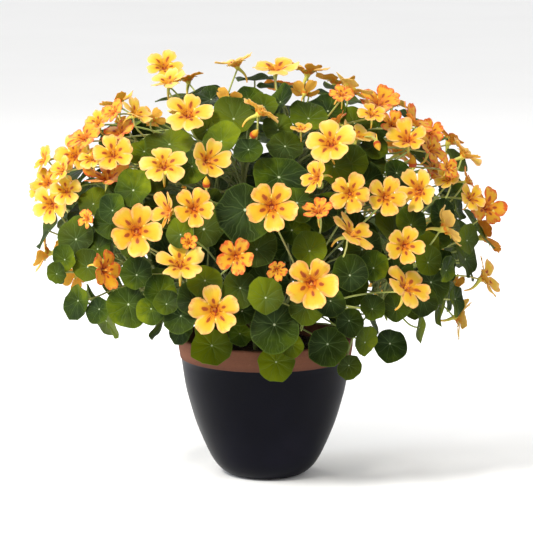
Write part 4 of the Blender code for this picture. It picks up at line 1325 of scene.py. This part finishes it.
class Finish:
    """A material's node tree, with short ways to its usual nodes."""

    def __init__(self, name):
        self.material = bpy.data.materials.new(name)
        self.material.use_nodes = True
        self.tree = self.material.node_tree
        self.shader = self.tree.nodes["Principled BSDF"]
        self.output = self.tree.nodes["Material Output"]

    def node(self, kind, values, **settings):
        """A node with its inputs, by name or number, and its settings."""
        made = self.tree.nodes.new(kind)
        for title, value in settings.items():
            setattr(made, title, value)
        for title, value in values.items():
            feed(self.tree, made.inputs[title], value)
        return made

    def parts(self, vector):
        """The three numbers of a vector."""
        split = self.node("ShaderNodeSeparateXYZ", {0: vector})
        return [Field(self.tree, socket) for socket in split.outputs]

    def attribute(self, name):
        """The three numbers of a mesh attribute, and the vector itself."""
        vector = self.node("ShaderNodeAttribute", {}, attribute_name=name).outputs["Vector"]
        return [*self.parts(vector), vector]

    def object_point(self):
        return self.node("ShaderNodeTexCoord", {}).outputs["Object"]

    def vector(self, *fields):
        return self.node("ShaderNodeCombineXYZ", dict(enumerate(fields))).outputs[0]

    def noise(self, at, scale, detail, roughness=0.55):
        values = {"Vector": at, "Scale": scale, "Detail": detail, "Roughness": roughness}
        return Field(self.tree, self.node("ShaderNodeTexNoise", values).outputs["Fac"])

    def cells(self, at, scale):
        """How far the nearest edge between two cells is."""
        values = {"Vector": at, "Scale": scale}
        made = self.node("ShaderNodeTexVoronoi", values, feature="DISTANCE_TO_EDGE")
        return Field(self.tree, made.outputs["Distance"])

    def ramp(self, field, stops):
        """A colour for each value of the field, between stops of a place and a colour."""
        made = self.node("ShaderNodeValToRGB", {0: field})
        elements = made.color_ramp.elements
        for k, (place, colour) in enumerate(stops):
            element = elements[k] if k < 2 else elements.new(place)
            element.position, element.color = place, (*colour, 1)
        return made.outputs[0]

    def mix(self, share, low, high):
        """Two colours, each a socket or three numbers, mixed by a field."""
        return self.node("ShaderNodeMix", {0: share, 6: low, 7: high}, data_type="RGBA").outputs[2]

    def surface(self, colour, roughness, bump=None, strength=0.3, distance=0.4 * MM, **plain):
        """Joins fields to the shader. plain values go on its own sockets."""
        values = {"Base Color": colour, "Roughness": roughness}
        values.update({title.replace("_", " "): value for title, value in plain.items()})
        if bump is not None:
            relief = {"Strength": strength, "Distance": distance, "Height": bump}
            values["Normal"] = self.node("ShaderNodeBump", relief).outputs[0]
        for title, value in values.items():
            feed(self.tree, self.shader.inputs[title], value)
        return self.material

    def see_light_through(self, colour, share):
        """Lets part of the light from behind through the blade."""
        through = self.node("ShaderNodeBsdfTranslucent", {"Color": colour})
        both = self.node("ShaderNodeMixShader", {0: share, 1: self.shader.outputs[0], 2: through.outputs[0]})
        self.tree.links.new(both.outputs[0], self.output.inputs["Surface"])
        return self.material


# Colours from the throat to the petal's edge, for each kind of bloom
PETAL_RAMPS = {
    "cream": [
        (0.10, (0.64, 0.19, 0.005)),
        (0.24, (0.66, 0.34, 0.007)),
        (0.42, (0.68, 0.45, 0.018)),
        (0.70, (0.70, 0.52, 0.050)),
        (0.97, (0.74, 0.60, 0.17)),
    ],
    "gold": [
        (0.10, (0.64, 0.16, 0.004)),
        (0.24, (0.66, 0.31, 0.006)),
        (0.42, (0.68, 0.42, 0.010)),
        (0.70, (0.70, 0.47, 0.022)),
        (0.97, (0.73, 0.54, 0.095)),
    ],
    "flame": [
        (0.10, (0.60, 0.10, 0.003)),
        (0.26, (0.66, 0.24, 0.005)),
        (0.46, (0.69, 0.37, 0.010)),
        (0.76, (0.71, 0.42, 0.021)),
        (0.97, (0.70, 0.42, 0.046)),
    ],
}
PETAL_RAYS = (0.82, 0.33, 0.008)
PETAL_EDGE_PALE = (0.86, 0.62, 0.26)
PETAL_EDGE_RED = (0.66, 0.10, 0.015)
# How strong a petal's pale edge is, where its red edge starts and how strong that is
PALE_SHARE = {"cream": 0.65, "gold": 0.65, "flame": 0.2}
BLUSH_FROM = {"cream": 0.82, "gold": 0.82, "flame": 0.70}
BLUSH_SHARE = {"cream": 0.14, "gold": 0.34, "flame": 0.92}
SPOT = (0.30, 0.040, 0.005)
SPOT_GLOW = (0.72, 0.25, 0.005)
THROAT_LINES = (0.45, 0.05, 0.004)
BACK_PALE = {"cream": (0.86, 0.63, 0.17), "gold": (0.86, 0.55, 0.09), "flame": (0.84, 0.44, 0.06)}
BACK_RAY_SHARE = {"cream": 0.22, "gold": 0.32, "flame": 0.60}
BACK_RAYS = (0.82, 0.20, 0.015)
BACK_THROAT = (0.78, 0.36, 0.02)

CALYX_COLOURS = [(0.0, (0.40, 0.40, 0.06)), (0.5, (0.62, 0.48, 0.06)), (1.0, (0.66, 0.46, 0.05))]
SPUR_ORANGE = (0.80, 0.30, 0.03)
CUP_DEEP_RED = (0.34, 0.045, 0.004)
SEPAL_FOOT = (0.62, 0.16, 0.008)
STAMEN_COLOURS = [(0.45, (0.85, 0.45, 0.05)), (0.72, (0.42, 0.16, 0.02))]

LEAF_GREENS = [
    (0.0, (0.005, 0.012, 0.002)),
    (0.35, (0.015, 0.030, 0.001)),
    (0.65, (0.046, 0.074, 0.001)),
    (1.0, (0.145, 0.180, 0.002)),
]
LEAF_YELLOW = (0.135, 0.170, 0.002)
# The leaf's waxy bloom, with a painted sheen on it
LEAF_WAX_AND_SHEEN = (0.042, 0.072, 0.024)
# Painted shade for leaves deep inside the crown
LEAF_PAINTED_SHADE = (0.004, 0.011, 0.002)
LEAF_VEIN = (0.12, 0.18, 0.05)
LEAF_RIM = (0.09, 0.14, 0.02)
LEAF_DOT = (0.50, 0.56, 0.34)
LEAF_GLOW = (0.17, 0.24, 0.003)
LEAF_BACK_GREENS = [(0.0, (0.045, 0.085, 0.020)), (1.0, (0.110, 0.170, 0.040))]
LEAF_BACK_YELLOW = (0.20, 0.26, 0.02)
# Painted shade for leaf undersides deep inside the crown
LEAF_BACK_PAINTED_SHADE = (0.010, 0.022, 0.005)
LEAF_BACK_VEIN = (0.28, 0.36, 0.14)
LEAF_BACK_GLOW = (0.28, 0.42, 0.03)
STEM_GREENS = [(0.1, (0.16, 0.23, 0.035)), (0.5, (0.33, 0.38, 0.085)), (0.95, (0.50, 0.50, 0.17))]
STEM_RED = (0.40, 0.20, 0.07)
# Painted shade for stems deep inside the crown
STEM_PAINTED_SHADE = (0.030, 0.045, 0.010)

CLAY = [(0.25, (0.090, 0.036, 0.021)), (0.5, (0.140, 0.057, 0.034)), (0.8, (0.205, 0.092, 0.058))]
CLAY_LIME = (0.27, 0.15, 0.11)
CLAY_GROOVES = (0.105, 0.045, 0.030)
CLAY_FOOT = (0.075, 0.032, 0.024)
GLAZE = [(0.25, (0.0014, 0.0015, 0.0034)), (0.55, (0.0026, 0.0027, 0.0062)), (0.8, (0.0056, 0.0056, 0.0120))]
GLAZE_POOLED = (0.0018, 0.0020, 0.0040)
GLAZE_SPECKS = (0.04, 0.045, 0.06)
SOIL_BROWNS = [(0.35, (0.010, 0.006, 0.004)), (0.55, (0.030, 0.018, 0.011)), (0.8, (0.075, 0.045, 0.026))]
SOIL_FIBRES = (0.12, 0.075, 0.04)
FLOOR_WHITES = [(0.2, (0.88, 0.88, 0.88)), (0.8, (0.91, 0.91, 0.91))]


def petal_face(tone):
    """Yellow with an orange throat, a dark red spot and fine rays. The upper two petals have longer marks."""
    finish = Finish(f"petal_{tone}_face")
    out, side, margin, _ = finish.attribute("spread")
    bloom, petal, upper, _ = finish.attribute("nature")
    ray = side / (out + 0.06)
    grain = finish.noise(finish.vector(ray * 9 + petal * 7, out * 1.4, bloom * 5), 3.0, 4)
    blot = finish.noise(finish.vector(out, side, petal * 9 + bloom * 4), 5.0, 2)
    colour = finish.ramp(out + (grain - 0.5) * 0.16 + (bloom - 0.5) * 0.12, PETAL_RAMPS[tone])
    rays = grain.step(0.50, 0.68) * out.step(1.0, 0.25) * 0.5
    colour = finish.mix(rays, colour, PETAL_RAYS)
    colour = finish.mix(margin.step(0.78, 1.0) * PALE_SHARE[tone], colour, PETAL_EDGE_PALE)
    frayed = margin + (blot - 0.5) * 0.9 + (grain - 0.5) * 0.7
    colour = finish.mix(frayed.step(BLUSH_FROM[tone], 1.02) * BLUSH_SHARE[tone], colour, PETAL_EDGE_RED)
    reach = (out - 0.375 - upper * 0.05) / (petal * 0.03 + 0.082 + upper * 0.03)
    wide = side / (petal * 0.016 + 0.054 - upper * 0.006)
    from_spot = (reach * reach + wide * wide) ** 0.5 + (blot - 0.5) * 1.3
    colour = finish.mix(from_spot.step(2.6, 0.9) * 0.50, colour, SPOT_GLOW)
    lines = (ray * 34).calc("COSINE").step(0.25, 0.8) * ray.calc("ABSOLUTE").step(0.42, 0.28)
    lines = lines * out.step(0.16, 0.24) * out.step(0.50, 0.36) * (upper * 0.45 + 0.15)
    colour = finish.mix(lines, colour, THROAT_LINES)
    colour = finish.mix(from_spot.step(1.30, 0.70) * 0.92, colour, SPOT)
    relief = {"bump": grain * 0.6 + (ray * 46).calc("COSINE") * 0.25, "strength": 0.35, "distance": 0.25 * MM}
    rough = blot.step(0.3, 0.7, 0.50, 0.66)
    finish.surface(colour, rough, **relief, Specular_IOR_Level=0.3, Sheen_Weight=0.12)
    return finish.see_light_through(colour, 0.36)


def petal_back(tone):
    """Paler than the face, with orange red rays."""
    finish = Finish(f"petal_{tone}_back")
    out, side, _, _ = finish.attribute("spread")
    bloom, petal, _, _ = finish.attribute("nature")
    ray = side / (out + 0.10)
    grain = finish.noise(finish.vector(ray * 8 + petal * 5, out * 1.2, bloom * 3), 3.0, 3)
    rays = grain.step(0.45, 0.66) * out.step(1.05, 0.35) * BACK_RAY_SHARE[tone]
    colour = finish.mix(rays, BACK_PALE[tone], BACK_RAYS)
    colour = finish.mix(out.step(0.55, 0.15) * 0.7, colour, BACK_THROAT)
    rough = grain.step(0.3, 0.7, 0.55, 0.7)
    finish.surface(colour, rough, grain, strength=0.35, distance=0.25 * MM, Specular_IOR_Level=0.25)
    return finish.see_light_through(colour, 0.45)


def calyx_finish():
    """Yellow green sepals, a spur that turns orange towards its tip, and a deep red cup."""
    finish = Finish("calyx")
    out, _, margin, _ = finish.attribute("spread")
    _, part, tube, _ = finish.attribute("nature")
    grain = finish.noise(finish.object_point(), 420.0, 2)
    colour = finish.ramp(margin + (grain - 0.5) * 0.4, CALYX_COLOURS)
    colour = finish.mix(out.step(0.1, 1.0) * tube * part, colour, SPUR_ORANGE)
    throat = out.step(0.50, 0.58) * tube * part.step(0.4, 0.3)
    colour = finish.mix(throat, colour, CUP_DEEP_RED)
    inner = out.step(0.36, 0.24) * tube.step(1.0, 0.0)
    colour = finish.mix(inner * 0.9, colour, SEPAL_FOOT)
    rough = grain.step(0.3, 0.7, 0.42, 0.6)
    return finish.surface(colour, rough, grain, strength=0.2, distance=0.2 * MM, Specular_IOR_Level=0.35)


def stamen_finish():
    finish = Finish("stamen")
    along = finish.attribute("spread")[0]
    grain = finish.noise(finish.object_point(), 900.0, 2)
    colour = finish.ramp(along + (grain - 0.5) * 0.2, STAMEN_COLOURS)
    return finish.surface(colour, grain.step(0.3, 0.7, 0.5, 0.8), grain, strength=0.3, distance=0.2 * MM)


def leaf_veins(finish, x, y, share, at):
    """Where the veins are, from 0 to 1: nine from the hub, their forks and the net between them."""
    wander = finish.noise(at, 2.2, 1)
    angle = y.calc("ARCTAN2", x) + math.pi / 2 + (wander - 0.5) * 0.35
    reach = (x * x + y * y) ** 0.5

    def lines(count, thin, shift=0.0):
        turn = (angle * (count / (2 * math.pi)) + shift).calc("FRACT") - 0.5
        apart = turn.calc("ABSOLUTE") * (2 * math.pi / count) * reach
        return apart.step(thin * 2.4, thin * 0.5)

    veins = lines(LEAF_VEINS, 0.013, 0.5)
    forks = lines(LEAF_VEINS * 2, 0.008) * share.step(0.38, 0.62) * 0.7
    twigs = lines(LEAF_VEINS * 4, 0.006) * share.step(0.62, 0.80) * 0.5
    net = finish.cells(at, 9.0).step(0.05, 0.0) * 0.28
    for finer in (forks, twigs, net):
        veins = veins.calc("MAXIMUM", finer)
    return veins


def leaf_face():
    """Deep green with a waxy bluish middle that carries a painted sheen, pale veins, a whitish dot over the
    stalk, painted light across each leaf and painted shade deep in the crown.
    """
    finish = Finish("leaf_face")
    across, along, share, at = finish.attribute("spread")
    leaf, yellow, depth, _ = finish.attribute("nature")
    veins = leaf_veins(finish, across, along, share, at)
    mottle = finish.noise(finish.object_point(), 70.0, 4)
    # Painted light: each leaf is lighter on one side and darker on the other, along a direction of its own
    way = leaf * 20
    painted_light_slope = across * way.calc("COSINE") + along * way.calc("SINE")
    shift = (mottle - 0.5) * 1.1 + leaf * 0.62 + painted_light_slope * 0.34 + 0.02
    colour = finish.ramp(shift, LEAF_GREENS)
    # Yellow green: partly each leaf's own tone, partly painted light on the leaves listed as sunlit
    colour = finish.mix(yellow * (painted_light_slope * 0.5 + 0.75), colour, LEAF_YELLOW)
    # Waxy bloom and painted sheen: a bluish shine round the leaf's middle, more on its darker side
    wax_and_sheen = share.step(0.85, 0.05) * (mottle * 0.8 - painted_light_slope * 0.5).step(0.15, 0.65)
    wax_and_sheen = wax_and_sheen * leaf.step(1.0, 0.1, 0.15, 0.60)
    colour = finish.mix(wax_and_sheen, colour, LEAF_WAX_AND_SHEEN)
    # Painted shade: leaves deeper inside the crown are darkened
    colour = finish.mix(depth.step(0.92, 0.40) * 0.8, colour, LEAF_PAINTED_SHADE)
    colour = finish.mix(veins * 0.26, colour, LEAF_VEIN)
    colour = finish.mix(share.step(0.93, 1.0) * 0.4, colour, LEAF_RIM)
    colour = finish.mix(share.step(0.065, 0.03) * 0.9, colour, LEAF_DOT)
    relief = mottle * 0.35 + veins * -0.5
    rough = mottle.step(0.25, 0.75, 0.42, 0.60)
    finish.surface(colour, rough, relief, strength=0.6, distance=0.6 * MM, Specular_IOR_Level=0.06)
    return finish.see_light_through(finish.mix(0.5, colour, LEAF_GLOW), 0.20)


def leaf_back():
    """Paler and duller underside with raised veins."""
    finish = Finish("leaf_back")
    leaf, yellow, depth, _ = finish.attribute("nature")
    veins = leaf_veins(finish, *finish.attribute("spread"))
    mottle = finish.noise(finish.object_point(), 80.0, 3)
    colour = finish.ramp(mottle * 0.6 + leaf * 0.4, LEAF_BACK_GREENS)
    # Yellow green: partly each leaf's own tone, partly painted light on the leaves listed as sunlit
    colour = finish.mix(yellow * 0.7, colour, LEAF_BACK_YELLOW)
    # Painted shade: undersides of leaves deeper inside the crown are darkened
    colour = finish.mix(depth.step(0.92, 0.40) * 0.7, colour, LEAF_BACK_PAINTED_SHADE)
    colour = finish.mix(veins * 0.6, colour, LEAF_BACK_VEIN)
    relief = mottle * 0.3 + veins * 0.7
    rough = mottle.step(0.3, 0.7, 0.55, 0.72)
    finish.surface(colour, rough, relief, strength=0.5, distance=0.5 * MM, Specular_IOR_Level=0.3)
    return finish.see_light_through(finish.mix(0.7, colour, LEAF_BACK_GLOW), 0.30)


def stem_finish():
    """Pale yellow green, here and there reddish, with fine lengthwise lines, and painted shade that darkens
    it inside the crown.
    """
    finish = Finish("stem_green")
    around = finish.attribute("spread")[1]
    own, red, _, _ = finish.attribute("nature")
    grain = finish.noise(finish.object_point(), 160.0, 3)
    colour = finish.ramp(grain * 0.6 + own * 0.4, STEM_GREENS)
    colour = finish.mix(red.step(0.55, 1.0) * grain.step(0.35, 0.6) * 0.35, colour, STEM_RED)
    # Painted shade: stems are darkened towards the crown's centre
    ends = {0: finish.object_point(), 1: CROWN_CENTRE}
    distance = finish.node("ShaderNodeVectorMath", ends, operation="DISTANCE")
    away = Field(finish.tree, distance.outputs["Value"])
    colour = finish.mix(away.step(0.215, 0.120) * 0.75, colour, STEM_PAINTED_SHADE)
    ridges = (around * (2 * math.pi * 6)).calc("COSINE") * 0.3 + grain
    rough = grain.step(0.3, 0.7, 0.38, 0.55)
    return finish.surface(colour, rough, ridges, strength=0.25, distance=0.2 * MM, Specular_IOR_Level=0.4)


def pot_finish():
    """Dark blue black glaze, and the bare clay of the rim and the inside above an uneven glaze line."""
    finish = Finish("glaze_and_clay")
    at = finish.object_point()
    x, y, z = finish.parts(at)
    drift = finish.noise(at, 14.0, 3)
    speck = finish.noise(at, 900.0, 3)
    cloud = finish.noise(at, 9.0, 4)
    edge = POT_HEIGHT - BAND_HEIGHT + 0.4 * MM
    above = (z + (drift - 0.5) * 1.6 * MM).step(edge - 0.35 * MM, edge + 0.35 * MM)
    bare = above.calc("MAXIMUM", z.step(0.7 * MM, 0.3 * MM))
    clay = finish.ramp(cloud * 0.7 + speck * 0.3, CLAY)
    lime = finish.noise(at, 38.0, 5, 0.7)
    clay = finish.mix(lime.step(0.56, 0.72) * 0.25, clay, CLAY_LIME)
    wheel = finish.noise(finish.vector(x * 6, y * 6, z * 420), 1.0, 4, 0.7)
    clay = finish.mix(wheel.step(0.50, 0.66) * 0.40, clay, CLAY_GROOVES)
    clay = finish.mix(z.step(edge + 7 * MM, edge) * 0.45, clay, CLAY_FOOT)
    glaze = finish.ramp(cloud, GLAZE)
    glaze = finish.mix(z.step(30 * MM, 4 * MM) * 0.5, glaze, GLAZE_POOLED)
    glaze = finish.mix(speck.step(0.70, 0.78) * 0.12, glaze, GLAZE_SPECKS)
    rough = bare * 0.45 + cloud.step(0.3, 0.7, 0.32, 0.44)
    throwing = (z * 1900).calc("SINE") * 0.10
    relief = (speck * 0.9 + throwing + lime * 0.5) * bare + drift * 0.6
    shine = {"strength": 0.35, "distance": 0.35 * MM, "Specular_IOR_Level": 0.065}
    return finish.surface(finish.mix(bare, glaze, clay), rough, relief, **shine)


def soil_finish():
    """Dark damp compost with lighter fibres."""
    finish = Finish("potting_compost")
    at = finish.object_point()
    own, crumb, _, _ = finish.attribute("nature")
    fine = finish.noise(at, 520.0, 5, 0.7)
    broad = finish.noise(at, 60.0, 3)
    colour = finish.ramp(fine * 0.6 + broad * 0.4 + crumb * own * 0.2, SOIL_BROWNS)
    fibres = finish.cells(at, 210.0).step(0.05, 0.0) * broad.step(0.5, 0.7)
    colour = finish.mix(fibres * 0.5, colour, SOIL_FIBRES)
    rough = fine.step(0.3, 0.7, 0.8, 0.98)
    return finish.surface(colour, rough, fine, strength=0.8, distance=0.8 * MM, Specular_IOR_Level=0.2)


def floor_finish():
    finish = Finish("studio_floor")
    colour = finish.ramp(finish.noise(finish.object_point(), 1.5, 2), FLOOR_WHITES)
    return finish.surface(colour, 0.7, Specular_IOR_Level=0.15)


# Planting and studio


def wanted_here(growth):
    """False for a growth that reaches BOX_ROOM out of the solids' box, and for an unlisted bloom in front."""
    if growth.kind == "bloom" and not growth.listed and growth.centre.y < REAR_FROM:
        return False
    for k in range(3):
        reach = growth.radius * (math.sqrt(max(0, 1 - growth.normal[k] ** 2)) + 0.25)
        low, high = CAD_BOX[0][k] - BOX_ROOM, CAD_BOX[1][k] + BOX_ROOM
        if growth.centre[k] - reach < low or growth.centre[k] + reach > high:
            return False
    return True


def add_skirt(plan):
    """Leaves low round the pot, where no other leaf is near."""
    for step in range(SKIRT_STEPS):
        angle = step * SPIRAL_TURN
        outward = Vector((math.cos(angle), math.sin(angle), 0))
        centre = outward * plan.draw.uniform(*SKIRT_OUT) * MM
        centre += Vector((0, 0, plan.draw.uniform(*SKIRT_UP) * MM))
        near = [g for g in plan.growths if g.kind == "leaf" and (g.centre - centre).length < SKIRT_SPACING]
        normal = (outward + Vector((0, 0, plan.draw.uniform(*SKIRT_LIFT)))).normalized()
        if not near:
            radius = plan.draw.uniform(*SKIRT_RADII) * MM
            plan.add("leaf", centre, radius, normal, outward, SKIRT_STALK, listed=False)


def grow_crown():
    """The solids' plan, and then the leaves and blooms that only show here."""
    plan = plan_plant()
    planned = len(plan.growths)
    plan.listed("leaf", CROWDED_LEAVES, LEAF_STALK)
    plan.listed("bloom", CROWDED_BLOOMS, CROWDED_STALK)
    for fill in FILL_ROUNDS:
        plan.spiral(*fill, over_pot=FILL_OVER_POT)
    add_skirt(plan)
    plan.growths = [g for k, g in enumerate(plan.growths) if k < planned or wanted_here(g)]
    return plan


def dress_plant():
    plan = grow_crown()
    faces = {tone: (petal_face(tone), petal_back(tone)) for tone in PETAL_RAMPS}
    calyx, stamen = calyx_finish(), stamen_finish()
    leaf_finishes, green = (leaf_face(), leaf_back()), stem_finish()
    shoots = [Patchwork() for _ in range(STEM_COUNT)]
    leaves = [Patchwork() for _ in range(STEM_COUNT)]
    blooms = {}
    for stem, routes in enumerate(plan.routes):
        fine_stem(shoots[stem], stem, routes)
    single = 0
    for number, growth in enumerate(plan.growths):
        fine_stalk(shoots[growth.stem], growth)
        if growth.kind == "leaf":
            fine_leaf(leaves[growth.stem], growth, number)
            continue
        if growth.separate:
            single += 1
            work = Patchwork()
            fine_bloom(work, growth, number)
            finishes = (*faces[growth.tone], calyx, stamen)
            work.piece(f"bloom_{single:02d}", finishes, f"flower_{single:02d}", f"petals_{growth.tone}")
            continue
        tone = "flame" if growth.kind == "bud" else growth.tone
        work = blooms.setdefault((growth.stem, tone), Patchwork())
        (fine_bud if growth.kind == "bud" else fine_bloom)(work, growth, number)
    for stem in range(STEM_COUNT):
        node = f"leafy_stem_{stem + 1}"
        shoots[stem].piece(f"shoots_{stem + 1}", (green,), node, "foliage")
        leaves[stem].piece(f"leaves_{stem + 1}", leaf_finishes, node, "foliage")
    for (stem, tone), work in sorted(blooms.items()):
        finishes = (*faces[tone], calyx, stamen)
        work.piece(f"blooms_{stem + 1}_{tone}", finishes, f"leafy_stem_{stem + 1}", f"petals_{tone}")


def add_floor():
    shape = bmesh.new()
    bmesh.ops.create_circle(shape, cap_ends=True, segments=FLOOR_SIDES, radius=FLOOR_RADIUS)
    floor = placed("studio_floor", mesh_of("studio_floor", shape))
    floor.data.materials.append(floor_finish())


def add_studio():
    add_floor()
    world = bpy.data.worlds.new("studio")
    world.use_nodes = True
    sky = world.node_tree.nodes["Background"]
    sky.inputs["Color"].default_value = (1.0, 1.0, 1.0, 1)
    sky.inputs["Strength"].default_value = DAYLIGHT
    bpy.context.scene.world = world
    for name, at, size, power, colour in LAMPS:
        data = bpy.data.lights.new(name, "AREA")
        data.shape, data.size, data.energy, data.color = "DISK", size, power, colour
        lamp = placed(name, data)
        lamp.location = at
        lamp.rotation_euler = (CROWN_CENTRE - Vector(at)).to_track_quat("-Z", "Y").to_euler()


def add_camera():
    data = bpy.data.cameras.new("camera")
    data.lens, data.sensor_width, data.clip_end = LENS, SENSOR, 100
    camera = placed("camera", data)
    camera.location = EYE
    camera.rotation_euler = (AIM - EYE).to_track_quat("-Z", "Y").to_euler()
    bpy.context.scene.camera = camera


def main():
    fine_pot()
    fine_soil()
    dress_plant()
    add_studio()
    add_camera()
    bpy.context.scene.view_settings.view_transform = "Standard"
    bpy.context.view_layer.update()


main()
